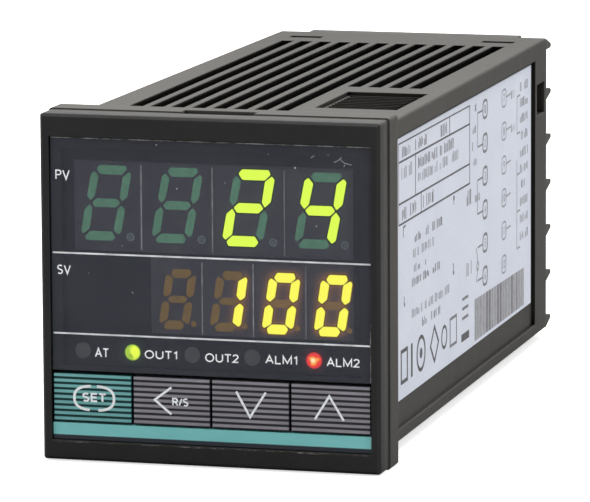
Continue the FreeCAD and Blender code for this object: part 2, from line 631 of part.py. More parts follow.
# -------------------------------------------------------------- the keys
for i, name in enumerate(("key_set", "key_shift", "key_down", "key_up")):
    key = new_body(name)
    cx = "(%s - 1.5) * key_pitch" % i
    left, right = cx + " - key_wide / 2", cx + " + key_wide / 2"
    if i == 0:
        left += " - key_extra"
    if i == 3:
        right += " + key_extra"
    along_y(key, PAD, name + "_cap", rect(left, right, "-key_low", "-key_top"), "-key_at", "-key_back")
    along_y(
        key, PAD, name + "_boss",
        rect(cx + " - boss_wide / 2", cx + " + boss_wide / 2", "-key_mid - boss_tall / 2", "-key_mid + boss_tall / 2"),
        "-key_back", "-boss_end",
    )
    groove = along_x(
        key, POCKET, name + "_groove",
        [
            ("-key_at - 0.3", "-rib_first + rib_wide / 2"),
            ("-key_at - 0.3", "-rib_first - rib_wide / 2"),
            ("-key_at + rib_deep", "-rib_first - rib_wide / 4"),
            ("-key_at + rib_deep", "-rib_first + rib_wide / 4"),
        ],
        cx + " - key_wide / 2 - 1", cx + " + key_wide / 2 + 1",
    )
    pattern(key, groove, "Z_Axis", "rib_pitch * 7", 8, back=True)
    node(key)

# ------------------------------------------------- displays and switches
node(box("pv_display", "-digits_half", "digits_half", "-digits_at", "board_at", "upper_low", "upper_top"))
node(box("sv_display", "-lower_left", "digits_half", "-digits_at", "board_at", "-lower_low", "lower_top"))
lamps, lamp_holes = [], []
for tag, x in (("a", "-lamp_a"), ("b", "-lamp_b"), ("c", "-lamp_c"), ("d", "lamp_d"), ("e", "lamp_e")):
    body_lamp = rod("lamp_" + tag + "_stem", "y", "lamp_round", "-digits_at - 0.1", "digits_at + 0.1 + board_at", x, "-lamp_z")
    lamps.append(rounded("lamp_" + tag + "_light", body_lamp, 0.35, lambda e: e.Closed and abs(middle(e).y + 7.1) < 0.05))
    lamp_holes.append(rod("lamp_" + tag + "_hole", "y", "lamp_round + 0.08", "-digits_at - 1", "4", x, "-lamp_z"))
node(group("indicator_leds", *lamps))
shade = box("shade_plate", "-shade_half", "shade_half", "-digits_at", "-shade_back", "-shade_low", "-shade_top")
node(cut("led_holder", shade, group("shade_holes", *lamp_holes)))
frame_blank = box("surround_plate", "-shade_half", "shade_half", "-digits_at", "-shade_back", "-surround_low", "surround_top")
frame_upper = box(
    "surround_upper", "-digits_half - surround_gap", "digits_half + surround_gap", "-digits_at - 1", "-shade_back + 1",
    "upper_low - surround_gap", "upper_top + surround_gap",
)
frame_lower = box(
    "surround_lower", "-lower_left - surround_gap", "digits_half + surround_gap", "-digits_at - 1", "-shade_back + 1",
    "-lower_low - surround_gap", "lower_top + surround_gap",
)
node(cut("display_frame", frame_blank, group("surround_holes", frame_upper, frame_lower)))
node(box("display_board", "-digits_half", "digits_half", "board_at", "board_at + board_thick", "-front_board_tall", "front_board_tall"))
switches = []
for i in range(4):
    cx = "(%s - 1.5) * key_pitch" % i
    can = box("switch_can_%d" % i, cx + " - switch_half", cx + " + switch_half", "-switch_deep", "board_at", "-key_mid - switch_half", "-key_mid + switch_half")
    pin = rod("switch_pin_%d" % i, "y", "plunger_round", "-plunger_end", "plunger_end - switch_deep + 0.2", cx, "-key_mid")
    switches.append(fuse("switch_%d" % i, can, pin))
node(group("tact_switches", *switches))
node(box("display_header_left", "-control_x", "-control_x + header_wide", "board_at + board_thick", "board_at + board_thick + header_deep", "-header_tall", "header_tall"))
node(box("display_header_right", "power_x - header_wide", "power_x", "board_at + board_thick", "board_at + board_thick + header_deep", "-header_tall", "header_tall"))

# ----------------------------------------------------------- side boards
node(box("control_board", "-control_x - board_thick", "-control_x", "side_board_from", "side_board_to", "-side_board_tall", "side_board_tall"))
node(box("power_board", "power_x", "power_x + board_thick", "side_board_from", "side_board_to", "-side_board_tall", "side_board_tall"))
frame_plate = box("spacer_plate", "-control_x", "power_x", "spacer_from", "spacer_to", "-spacer_tall", "spacer_tall")
frame_hole = box("spacer_hole", "-7.5", "5.4", "spacer_from - 1", "spacer_to + 1", "-12", "12")
node(cut("rear_spacer", frame_plate, frame_hole))
node(box("insulation_sheet", "-barrier_x", "-barrier_x + barrier_thick", "8", "79", "-17.8", "17.8"))

# power board: supply and outputs, all standing on its inner face
P = "power_x"
can = rod("input_can", "x", "6", P + " - 19", "18.6", "25.5", "-9.5")
foot = rod("input_foot", "x", "5", P + " - 0.5", "0.5", "25.5", "-9.5")
node(fuse("input_capacitor", rounded("input_round", can, 0.7, lambda e: e.Closed), foot))
small = []
for tag, y, z in (("a", "38.5", "13.2"), ("b", "48.5", "13.2"), ("c", "28.5", "13.2")):
    stem = rod("filter_can_" + tag, "x", "4", P + " - 12.5", "12.5", y, z)
    small.append(rounded("filter_round_" + tag, stem, 0.5, lambda e: e.Closed))
node(group("filter_capacitors", *small))
# transformer: two E halves of ferrite round a bobbin with its winding
limb_top = box("ferrite_top", P + " - 14.5", P + " - 2.5", "37", "55", "3.6", "7.6")
limb_low = box("ferrite_low", P + " - 14.5", P + " - 2.5", "37", "55", "-15.6", "-11.6")
leg_a = box("ferrite_leg_a", P + " - 14.5", P + " - 2.5", "37", "40", "-15.6", "7.6")
leg_b = box("ferrite_leg_b", P + " - 14.5", P + " - 2.5", "52", "55", "-15.6", "7.6")
centre = box("ferrite_centre", P + " - 10.9", P + " - 6.1", "43.6", "48.4", "-12", "4")
node(fuse("transformer_core", limb_top, limb_low, leg_a, leg_b, centre))
coil_out = box("coil_out", P + " - 15.4", P + " - 1.6", "40.4", "51.6", "-10.4", "2.4")
coil_soft = rounded("coil_soft", coil_out, 1.6, lambda e: runs_along(e, "z"))
coil_in = box("coil_in", P + " - 11", P + " - 6", "43.5", "48.5", "-20", "20")
node(cut("transformer_winding", coil_soft, coil_in))
bob_low = box("bobbin_low", P + " - 16", P, "40.2", "51.8", "-11.5", "-10.4")
bob_top = box("bobbin_top", P + " - 16", P, "40.2", "51.8", "2.4", "3.5")
bob_hole = box("bobbin_hole", P + " - 11", P + " - 6", "43.5", "48.5", "-20", "20")
node(cut("transformer_bobbin", group("bobbin_flanges", bob_low, bob_top), bob_hole))
for name, z0, z1 in (("output_relay", "-17", "-7"), ("alarm_relay_one", "-5.5", "4.5"), ("alarm_relay_two", "6", "16")):
    blank = box(name + "_blank", P + " - 15.6", P, "59", "79", z0, z1)
    node(rounded(name, blank, 0.5, lambda e: not runs_along(e, "x") and middle(e).x < 0 or runs_along(e, "x")))
disc = rod("varistor_disc", "y", "5", "15.6", "3.4", P + " - 6.4", "10.6")
disc_soft = rounded("varistor_round", disc, 1.2, lambda e: e.Closed)
legs = [rod("varistor_leg_" + str(z), "x", "0.35", P + " - 4", "4", "17.3", str(z)) for z in (8.1, 13.1)]
node(fuse("varistor", disc_soft, *legs))
film = box("film_blank", P + " - 11", P, "7.5", "13.5", "-15.5", "-2.5")
node(rounded("film_capacitor", film, 0.6, lambda e: True))
fuse_rod = rod("fuse_rod", "z", "2.1", "-1", "11", P + " - 3.6", "22.4")
fuse_soft = rounded("fuse_round", fuse_rod, 0.6, lambda e: e.Closed)
wire = rod("fuse_wire", "z", "0.35", "-2.6", "14.2", P + " - 3.6", "22.4")
legs = [rod("fuse_leg_%d" % i, "x", "0.35", P + " - 3.6", "3.6", "22.4", z) for i, z in enumerate(("-2.4", "11.4"))]
node(fuse("fuse_resistor", fuse_soft, wire, *legs))
bridge = box("bridge_blank", P + " - 6.5", P, "7.5", "12.5", "0.5", "8.5")
node(rounded("bridge_rectifier", bridge, 0.4, lambda e: True))

# control board: measuring and logic, on its inner face
C = "-control_x"
node(box("microcontroller", C, C + " + 2", "20", "34", "-7", "7"))
node(box("memory_chip", C, C + " + 1.6", "41", "46", "-3", "2"))
node(group("optocouplers", *[box("opto_%d" % i, C, C + " + 3.5", "52", "58.4", str(z), str(z + 4.6)) for i, z in enumerate((-14.0, -4.0, 6.0))]))
node(rounded("crystal", box("crystal_blank", C, C + " + 3.5", "38", "49", "8.5", "12.8"), 1.5, lambda e: runs_along(e, "x")))
caps = []
for i, (y, z) in enumerate(((14.0, 13.0), (64.0, 12.0), (64.0, -12.0))):
    stem = rod("signal_can_%d" % i, "x", "2.4", C, "4.2", str(y), str(z))
    caps.append(rounded("signal_round_%d" % i, stem, 0.3, lambda e: e.Closed))
node(group("signal_capacitors", *caps))
node(box("amplifier_chip", C, C + " + 1.7", "68", "73", "-4.5", "4.5"))

# ------------------------------------------------------- check and write
doc.recompute()
for obj in doc.Objects:
    if "Invalid" in obj.State or "Error" in obj.State:
        raise RuntimeError("%s: %s" % (obj.Label, obj.State))
for obj in NODES:
    shape = obj.Shape
    if shape.isNull() or not shape.isValid() or not shape.Solids:
        raise RuntimeError("bad shape: " + obj.Label)
os.makedirs("parts", exist_ok=True)
for obj in NODES:
    obj.Shape.exportStep(os.path.join("parts", obj.Label + ".step"))
    b = obj.Shape.BoundBox
    print(
        "%-22s solids %2d volume %9.1f  x %7.2f %7.2f  y %7.2f %7.2f  z %7.2f %7.2f"
        % (obj.Label, len(obj.Shape.Solids), obj.Shape.Volume, b.XMin, b.XMax, b.YMin, b.YMax, b.ZMin, b.ZMax)
    )
print(len(NODES), "nodes")
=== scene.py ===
"""Looks of the panel temperature controller: finishes, display digits, legends, label print and board detail."""

import math
import random

import bmesh
import bpy
import numpy as np
from mathutils import Matrix, Vector


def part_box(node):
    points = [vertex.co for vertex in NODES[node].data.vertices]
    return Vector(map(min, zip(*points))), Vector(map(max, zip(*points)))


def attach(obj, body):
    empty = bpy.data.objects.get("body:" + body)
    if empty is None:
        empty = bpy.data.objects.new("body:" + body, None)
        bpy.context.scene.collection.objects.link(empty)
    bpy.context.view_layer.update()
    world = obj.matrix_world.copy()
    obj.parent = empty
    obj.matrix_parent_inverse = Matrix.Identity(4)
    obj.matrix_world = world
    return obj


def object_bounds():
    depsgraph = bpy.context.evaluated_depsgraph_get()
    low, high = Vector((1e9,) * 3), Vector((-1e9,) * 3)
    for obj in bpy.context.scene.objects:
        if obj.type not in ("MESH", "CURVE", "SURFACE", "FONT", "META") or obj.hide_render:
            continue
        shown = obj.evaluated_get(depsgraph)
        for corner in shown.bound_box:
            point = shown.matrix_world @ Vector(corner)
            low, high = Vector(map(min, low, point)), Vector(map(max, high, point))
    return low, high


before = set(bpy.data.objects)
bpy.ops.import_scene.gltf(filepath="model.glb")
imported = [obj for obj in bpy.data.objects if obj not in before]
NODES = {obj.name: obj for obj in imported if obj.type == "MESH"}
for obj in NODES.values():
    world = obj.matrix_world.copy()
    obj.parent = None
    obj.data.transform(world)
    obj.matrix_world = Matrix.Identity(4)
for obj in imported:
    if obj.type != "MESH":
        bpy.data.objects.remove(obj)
CAD_LO, CAD_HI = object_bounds()
scene = bpy.context.scene
MM = 0.001


def srgb(r, g, b):
    """0-255 display values as linear colour."""
    out = []
    for v in (r, g, b):
        v /= 255.0
        out.append(v / 12.92 if v <= 0.04045 else ((v + 0.055) / 1.055) ** 2.4)
    return tuple(out)


# ---------------------------------------------------------------- materials
class Mat:
    """A Principled material with short helpers for its node tree."""

    def __init__(self, name, base, rough=0.5, metallic=0.0, spec=0.5, **more):
        self.m = bpy.data.materials.new(name)
        self.m.use_nodes = True
        self.nt = self.m.node_tree
        self.b = self.nt.nodes["Principled BSDF"]
        self.base = base
        self.rough = rough
        self.b.inputs["Base Color"].default_value = (*base, 1)
        self.b.inputs["Roughness"].default_value = rough
        self.b.inputs["Metallic"].default_value = metallic
        self.b.inputs["Specular IOR Level"].default_value = spec
        for k, v in more.items():
            self.b.inputs[k.replace("_", " ")].default_value = v
        self.tc = None

    def node(self, kind, **props):
        n = self.nt.nodes.new(kind)
        for k, v in props.items():
            setattr(n, k, v)
        return n

    def link(self, a, b):
        self.nt.links.new(a, b)

    def coord(self):
        if self.tc is None:
            self.tc = self.node("ShaderNodeTexCoord")
        return self.tc.outputs["Object"]

    def noise(self, size_mm, detail=3.0, rough=0.55, stretch=None, seed=0.0):
        n = self.node("ShaderNodeTexNoise", noise_dimensions="3D")
        n.inputs["Scale"].default_value = 1.0
        n.inputs["Detail"].default_value = detail
        n.inputs["Roughness"].default_value = rough
        mp = self.node("ShaderNodeMapping")
        s = 1.0 / (size_mm * MM)
        st = stretch or (1, 1, 1)
        mp.inputs["Scale"].default_value = (s / st[0], s / st[1], s / st[2])
        mp.inputs["Location"].default_value = (seed, seed * 1.7, seed * 0.6)
        self.link(self.coord(), mp.inputs["Vector"])
        self.link(mp.outputs["Vector"], n.inputs["Vector"])
        return n.outputs["Fac"]

    def ramp(self, fac, lo, hi, a=0.0, b=1.0):
        n = self.node("ShaderNodeMapRange", clamp=True)
        n.inputs["From Min"].default_value = lo
        n.inputs["From Max"].default_value = hi
        n.inputs["To Min"].default_value = a
        n.inputs["To Max"].default_value = b
        self.link(fac, n.inputs["Value"])
        return n.outputs["Result"]

    def math(self, op, a, b=None):
        n = self.node("ShaderNodeMath", operation=op)
        for i, v in enumerate((a, b)):
            if v is None:
                continue
            if isinstance(v, (int, float)):
                n.inputs[i].default_value = v
            else:
                self.link(v, n.inputs[i])
        return n.outputs[0]

    def mix(self, fac, a, b):
        n = self.node("ShaderNodeMix", data_type="RGBA", blend_type="MIX")
        if isinstance(fac, (int, float)):
            n.inputs[0].default_value = fac
        else:
            self.link(fac, n.inputs[0])
        for i, v in ((6, a), (7, b)):
            if isinstance(v, tuple):
                n.inputs[i].default_value = (*v[:3], 1)
            else:
                self.link(v, n.inputs[i])
        return n.outputs[2]

    def axis(self, i):
        n = self.node("ShaderNodeSeparateXYZ")
        self.link(self.coord(), n.inputs[0])
        return n.outputs[i]

    def colour(self, out):
        self.link(out, self.b.inputs["Base Color"])

    def bump(self, height, strength, dist_mm, normal=None):
        n = self.node("ShaderNodeBump")
        n.inputs["Strength"].default_value = strength
        n.inputs["Distance"].default_value = dist_mm * MM
        self.link(height, n.inputs["Height"])
        if normal is not None:
            self.link(normal, n.inputs["Normal"])
        return n.outputs["Normal"]

    def rounded_normal(self, radius_mm):
        n = self.node("ShaderNodeBevel", samples=6)
        n.inputs["Radius"].default_value = radius_mm * MM
        return n.outputs["Normal"]

    def edge_mask(self, bevel_normal, lo=0.985, hi=0.80):
        g = self.node("ShaderNodeNewGeometry")
        d = self.node("ShaderNodeVectorMath", operation="DOT_PRODUCT")
        self.link(bevel_normal, d.inputs[0])
        self.link(g.outputs["Normal"], d.inputs[1])
        return self.ramp(d.outputs["Value"], lo, hi)


def plastic(name, base, rough=0.5, spec=0.5, vary=0.14, rough_vary=0.07, grain_mm=0.35, grain=0.25, bevel=0.22, edge=0.0, edge_highlight_tint=None, blotch_mm=14.0, seed=0.0, detail_mm=1.6, shade_mm=0.0, shade_to=0.25, sides=1.0, top=1.0, slots=None):
    """Moulded plastic: cloudy tone, spark-eroded grain, soft corners, painted highlights on the edges, painted light
    that makes up-facing faces lighter than the sides, and painted shade in the recesses.
    """
    m = Mat(name, base, rough, 0.0, spec)
    cloud = m.noise(blotch_mm, 3, 0.6, seed=seed)
    mid = m.noise(detail_mm, 4, 0.6, seed=seed + 5)
    fac = m.math("ADD", m.math("MULTIPLY", cloud, 0.6), m.math("MULTIPLY", mid, 0.4))
    lo = tuple(c * (1 - vary) for c in base)
    hi = tuple(c * (1 + vary) for c in base)
    col = m.mix(m.ramp(fac, 0.33, 0.67), lo, hi)
    rn = None
    if bevel:
        rn = m.rounded_normal(bevel)
        if edge:
            # painted highlight: the edges are lightened towards a paler tint, broken up by noise
            mask = m.math("MULTIPLY", m.edge_mask(rn), m.ramp(mid, 0.3, 0.6, 0.35, 1.0))
            tint = edge_highlight_tint or tuple(c * 2.2 + 0.01 for c in base)
            col = m.mix(m.math("MULTIPLY", mask, edge), col, tint)
    rgh = m.ramp(fac, 0.3, 0.7, max(rough - rough_vary, 0.02), min(rough + rough_vary, 1.0))
    if sides != 1.0 or top != 1.0:
        # painted light: faces that look up are made lighter and the sides darker, as the light falls from above
        geo = m.node("ShaderNodeNewGeometry")
        xyz = m.node("ShaderNodeSeparateXYZ")
        m.link(geo.outputs["Normal"], xyz.inputs[0])
        up = m.ramp(xyz.outputs["Z"], 0.35, 0.95, sides, top)
        gain = m.node("ShaderNodeVectorMath", operation="SCALE")
        m.link(col, gain.inputs[0])
        m.link(up, gain.inputs["Scale"])
        col = gain.outputs[0]
    if shade_mm:
        # painted shade: recesses darken by ambient occlusion, and turn rougher with less sheen
        ao = m.node("ShaderNodeAmbientOcclusion", samples=8, only_local=True)
        ao.inputs["Distance"].default_value = shade_mm * MM
        open_ = m.ramp(ao.outputs["AO"], 0.36, 0.78)
        col = m.mix(open_, tuple(c * shade_to for c in base), col)
        rgh = m.math("ADD", rgh, m.ramp(open_, 0.0, 1.0, 0.35, 0.0))
        glint = m.ramp(open_, 0.0, 1.0, spec * 0.12, spec)
        if slots:
            # painted shade: the slots' walls fall away into the dark from rounded edges
            inside = None
            for axis in range(3):
                v = m.axis(axis)
                lo, hi = slots[0][axis] * MM, slots[1][axis] * MM
                f = m.math("MULTIPLY", m.ramp(v, lo - 0.2 * MM, lo), m.ramp(v, hi + 0.2 * MM, hi))
                inside = f if inside is None else m.math("MULTIPLY", inside, f)
            # but not the bracket pocket's teeth
            pocket = m.math("MULTIPLY", m.ramp(m.axis(0), 7.4 * MM, 7.6 * MM), m.ramp(m.axis(1), 34.6 * MM, 34.4 * MM))
            inside = m.math("MULTIPLY", inside, m.math("SUBTRACT", 1.0, pocket))
            tilt = m.node("ShaderNodeSeparateXYZ")
            m.link(rn, tilt.inputs[0])
            wall = m.math("MULTIPLY", inside, m.ramp(m.math("ABSOLUTE", tilt.outputs["Z"]), 0.92, 0.45))
            col = m.mix(wall, col, tuple(c * 0.09 for c in base))
            glint = m.math("MULTIPLY", glint, m.ramp(wall, 0.0, 1.0, 1.0, 0.06))
        m.link(glint, m.b.inputs["Specular IOR Level"])
    m.colour(col)
    m.link(rgh, m.b.inputs["Roughness"])
    g = m.noise(grain_mm, 2, 0.5, seed=seed + 11)
    m.link(m.bump(g, grain, grain_mm * 0.22, rn), m.b.inputs["Normal"])
    return m


def metal(name, base, rough=0.3, vary=0.12, streak=(1, 1, 1), size_mm=0.5, bevel=0.08, seed=0.0, bump=0.15):
    m = Mat(name, base, rough, 1.0)
    n = m.noise(size_mm, 4, 0.6, streak, seed)
    m.colour(m.mix(m.ramp(n, 0.3, 0.7), tuple(c * (1 - vary) for c in base), tuple(min(c * (1 + vary), 1) for c in base)))
    m.link(m.ramp(n, 0.3, 0.7, max(rough - 0.1, 0.05), rough + 0.1), m.b.inputs["Roughness"])
    rn = m.rounded_normal(bevel) if bevel else None
    m.link(m.bump(n, bump, 0.02, rn), m.b.inputs["Normal"])
    return m


def ink(name, base, rough=0.6, vary=0.2, size_mm=0.6, spec=0.3, light=None):
    """Screen-printed ink, a little uneven; where light is given the ink also glows, painted light that makes the print
    read brighter.
    """
    m = Mat(name, base, rough, 0.0, spec)
    n = m.noise(size_mm, 4, 0.65, seed=3)
    col = m.mix(m.ramp(n, 0.32, 0.68), tuple(c * (1 - vary) for c in base), tuple(min(c * (1 + vary * 0.4), 1) for c in base))
    m.colour(col)
    if light:
        # painted light: the print glows
        m.link(col, m.b.inputs["Emission Color"])
        m.b.inputs["Emission Strength"].default_value = light
    m.link(m.bump(n, 0.15, 0.01), m.b.inputs["Normal"])
    return m


def assign(mat, *nodes):
    for n in nodes:
        me = NODES[n].data
        if not me.materials:
            me.materials.append(mat.m)
        for i in range(len(NODES[n].material_slots)):
            NODES[n].material_slots[i].material = mat.m


# ---------------------------------------------------------------- mesh helpers
def make(name, verts, faces, mats, body, idx=None, smooth=False, slot=None, cols=None, attr="glow"):
    """verts in mm."""
    me = bpy.data.meshes.new(name)
    me.from_pydata([tuple(c * MM for c in v) for v in verts], [], faces)
    for m in mats if isinstance(mats, (list, tuple)) else [mats]:
        me.materials.append(m.m)
    if idx is not None:
        me.polygons.foreach_set("material_index", idx)
    if smooth:
        me.polygons.foreach_set("use_smooth", [True] * len(me.polygons))
    if cols is not None:
        a = me.color_attributes.new(name=attr, type="FLOAT_COLOR", domain="POINT")
        a.data.foreach_set("color", np.array([(*c[:3], 1.0) for c in cols], np.float32).ravel())
    me.update()
    o = bpy.data.objects.new(name, me)
    scene.collection.objects.link(o)
    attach(o, body)
    return o


class Geo:
    """Collects prisms and boxes into one mesh."""

    def __init__(self):
        self.v, self.f, self.i, self.c = [], [], [], []

    def add(self, verts, faces, idx=0, col=(1, 1, 1)):
        n = len(self.v)
        self.v += [tuple(v) for v in verts]
        self.f += [tuple(n + k for k in f) for f in faces]
        self.i += [idx] * len(faces)
        self.c += [col] * len(verts) if not isinstance(col, list) else col

    def box(self, lo, hi, idx=0):
        (a, b, c), (d, e, g) = lo, hi
        v = [(a, b, c), (d, b, c), (d, e, c), (a, e, c), (a, b, g), (d, b, g), (d, e, g), (a, e, g)]
        f = [(0, 3, 2, 1), (4, 5, 6, 7), (0, 1, 5, 4), (1, 2, 6, 5), (2, 3, 7, 6), (3, 0, 4, 7)]
        self.add(v, f, idx)

    def prism(self, pts, place, d0, d1, idx=0):
        """Extrudes a flat outline. place(u, v, d) gives a point; d0 is the visible face."""
        n = len(pts)
        v = [place(u, w, d0) for u, w in pts] + [place(u, w, d1) for u, w in pts]
        f = [tuple(range(n)), tuple(range(2 * n - 1, n - 1, -1))]
        f += [(i, i + n, (i + 1) % n + n, (i + 1) % n) for i in range(n)]
        self.add(v, f, idx)

    def cyl(self, centre, r, d0, d1, place, n=24, idx=0):
        cu, cv = centre
        self.prism([(cu + r * math.cos(2 * math.pi * k / n), cv + r * math.sin(2 * math.pi * k / n)) for k in range(n)], place, d0, d1, idx)

    def ring(self, centre, r0, r1, d0, d1, place, n=32, idx=0, a0=0.0, a1=2 * math.pi, sq=1.0):
        """An annulus, or part of one, as a closed solid; sq squashes it in v."""
        cu, cv = centre
        full = abs(a1 - a0 - 2 * math.pi) < 1e-6
        m = n if full else n + 1
        v = []
        for k in range(m):
            a = a0 + (a1 - a0) * k / n
            for r in (r0, r1):
                for d in (d0, d1):
                    v.append(place(cu + r * math.cos(a), cv + r * math.sin(a) * sq, d))
        f = []
        for k in range(n):
            p, q = 4 * k, 4 * ((k + 1) % m)
            f += [(p, p + 2, q + 2, q), (p + 1, q + 1, q + 3, p + 3), (p, q, q + 1, p + 1), (p + 2, p + 3, q + 3, q + 2)]
        if not full:
            e = 4 * (m - 1)
            f += [(0, 1, 3, 2), (e, e + 2, e + 3, e + 1)]
        self.add(v, f, idx)

    def stroke(self, pts, w, d0, d1, place, idx=0):
        """A line of even width with square ends and mitred corners."""
        left, right = [], []
        n = len(pts)
        for i, p in enumerate(pts):
            p = Vector(p)
            a = (p - Vector(pts[i - 1])).normalized() if i > 0 else None
            b = (Vector(pts[i + 1]) - p).normalized() if i < n - 1 else None
            if a is None:
                a = b
            if b is None:
                b = a
            t = (a + b).normalized()
            nv = Vector((-t.y, t.x))
            s = (w / 2) / max(nv.dot(Vector((-a.y, a.x))), 0.35)
            left.append(tuple(p + nv * s))
            right.append(tuple(p - nv * s))
        for i in range(n - 1):
            self.prism([right[i], right[i + 1], left[i + 1], left[i]], place, d0, d1, idx)

    def make(self, name, mats, body, **k):
        return make(name, self.v, self.f, mats, body, idx=self.i, **k)


def front(u, v, d):
    """Front-facing print: u is X, v is Z, d is the Y plane."""
    return (u, d, v)


TAPER = 1.2 / 101.0


def side_right(u, v, d):
    """On the right label film: u is Y, v is Z, d is height off the film."""
    return (22.3 - TAPER * u - 0.35 + d, u, v)


def back(u, v, d):
    """Rear face print, read from behind: u runs to the viewer's right, which is -X."""
    return (-u, d, v)


def text_outline(s, bold=0.0):
    cu = bpy.data.curves.new("legend_tmp", "FONT")
    cu.body = s
    cu.size = 1.0
    cu.offset = bold
    cu.resolution_u = 3
    o = bpy.data.objects.new("legend_tmp", cu)
    scene.collection.objects.link(o)
    bpy.context.view_layer.update()
    dg = bpy.context.evaluated_depsgraph_get()
    me = bpy.data.meshes.new_from_object(o.evaluated_get(dg))
    v = [tuple(p.co)[:2] for p in me.vertices]
    f = [tuple(p.vertices) for p in me.polygons]
    bpy.data.objects.remove(o)
    bpy.data.curves.remove(cu)
    bpy.data.meshes.remove(me)
    return v, f


def text(geo, s, u0, u1, v0, v1, d0, place, idx=0, bold=0.0, thick=0.0):
    """Adds lettering that fills the box u0..u1, v0..v1."""
    v, f = text_outline(s, bold)
    xs, ys = [p[0] for p in v], [p[1] for p in v]
    a, b, c, d = min(xs), max(xs), min(ys), max(ys)
    pts = [place(u0 + (x - a) / (b - a) * (u1 - u0), v0 + (y - c) / (d - c) * (v1 - v0), d0) for x, y in v]
    geo.add(pts, f, idx)


def offset_poly(pts, d):
    """Convex outline, counter-clockwise, grown by d (shrunk if negative)."""
    n = len(pts)
    lines = []
    for i in range(n):
        p, q = Vector(pts[i]), Vector(pts[(i + 1) % n])
        t = (q - p).normalized()
        nv = Vector((t.y, -t.x))
        lines.append((p + nv * d, t))
    out = []
    for i in range(n):
        (p, t), (q, s) = lines[i - 1], lines[i]
        den = t.x * s.y - t.y * s.x
        if abs(den) < 1e-9:
            out.append(tuple(q))
            continue
        k = ((q.x - p.x) * s.y - (q.y - p.y) * s.x) / den
        out.append(tuple(p + t * k))
    return out


def round_poly(pts, r, n=3):
    """Rounds each corner of an outline with a short curve."""
    out = []
    m = len(pts)
    for i in range(m):
        p, a, b = Vector(pts[i]), Vector(pts[i - 1]), Vector(pts[(i + 1) % m])
        la, lb = (a - p).length, (b - p).length
        k = min(r, la * 0.45, lb * 0.45)
        s, e = p + (a - p) / la * k, p + (b - p) / lb * k
        for j in range(n + 1):
            t = j / n
            out.append(tuple(s * (1 - t) ** 2 + p * 2 * t * (1 - t) + e * t * t))
    return out


def ccw(pts):
    area = sum(pts[i - 1][0] * pts[i][1] - pts[i][0] * pts[i - 1][1] for i in range(len(pts)))
    return pts if area > 0 else pts[::-1]


# ---------------------------------------------------------------- camera, floor, light
cam_data = bpy.data.cameras.new("camera")
cam_data.sensor_fit = "HORIZONTAL"
cam_data.sensor_width = 36.0
cam_data.lens = 330.41
cam_data.clip_start, cam_data.clip_end = 0.02, 50.0
cam = bpy.data.objects.new("camera", cam_data)
scene.collection.objects.link(cam)
cam.matrix_world = Matrix((
    (0.962653, -0.037647, 0.268107, 206.911 * MM),
    (0.270683, 0.153717, -0.950317, -699.604 * MM),
    (-0.005436, 0.987398, 0.158166, 121.239 * MM),
    (0, 0, 0, 1),
))
scene.camera = cam
scene.view_settings.view_transform = "Standard"
scene.view_settings.look = "None"
scene.view_settings.exposure = 0.0
scene.view_settings.gamma = 1.0

world = bpy.data.worlds.new("studio")
scene.world = world
world.use_nodes = True
wn = world.node_tree
wn.nodes.clear()
w_out = wn.nodes.new("ShaderNodeOutputWorld")
w_tc = wn.nodes.new("ShaderNodeTexCoord")
w_sep = wn.nodes.new("ShaderNodeSeparateXYZ")
wn.links.new(w_tc.outputs["Generated"], w_sep.inputs[0])
w_ry = wn.nodes.new("ShaderNodeMapRange")
w_ry.interpolation_type = "SMOOTHSTEP"
for k, v in (("From Min", -0.9), ("From Max", 0.7), ("To Min", 0.78), ("To Max", 0.98)):
    w_ry.inputs[k].default_value = v
wn.links.new(w_sep.outputs[1], w_ry.inputs["Value"])
w_bg = wn.nodes.new("ShaderNodeBackground")
w_bg.inputs["Color"].default_value = (1.0, 0.985, 0.965, 1)
wn.links.new(w_ry.outputs["Result"], w_bg.inputs["Strength"])
w_cam = wn.nodes.new("ShaderNodeBackground")
w_cam.inputs["Color"].default_value = (1, 1, 1, 1)
w_cam.inputs["Strength"].default_value = 1.0
w_lp = wn.nodes.new("ShaderNodeLightPath")
w_mix = wn.nodes.new("ShaderNodeMixShader")
wn.links.new(w_lp.outputs["Is Camera Ray"], w_mix.inputs[0])
wn.links.new(w_bg.outputs[0], w_mix.inputs[1])
wn.links.new(w_cam.outputs[0], w_mix.inputs[2])
wn.links.new(w_mix.outputs[0], w_out.inputs["Surface"])


def area_light(name, loc, target, size, power, colour=(1, 1, 1)):
    d = bpy.data.lights.new(name, "AREA")
    d.shape = "RECTANGLE"
    d.size, d.size_y = size
    d.energy = power
    d.color = colour
    o = bpy.data.objects.new(name, d)
    o.location = loc
    o.rotation_mode = "QUATERNION"
    o.rotation_quaternion = (Vector(target) - Vector(loc)).to_track_quat("-Z", "Y")
    scene.collection.objects.link(o)
    return o


area_light("softbox_top", (0.05, 0.60, 1.1), (0, 0.04, 0), (0.9, 0.9), 13.0, (1.0, 0.965, 0.91))
area_light("softbox_right", (1.1, 0.05, 0.55), (0, 0.04, 0), (0.7, 0.7), 1.8, (0.94, 0.97, 1.0))

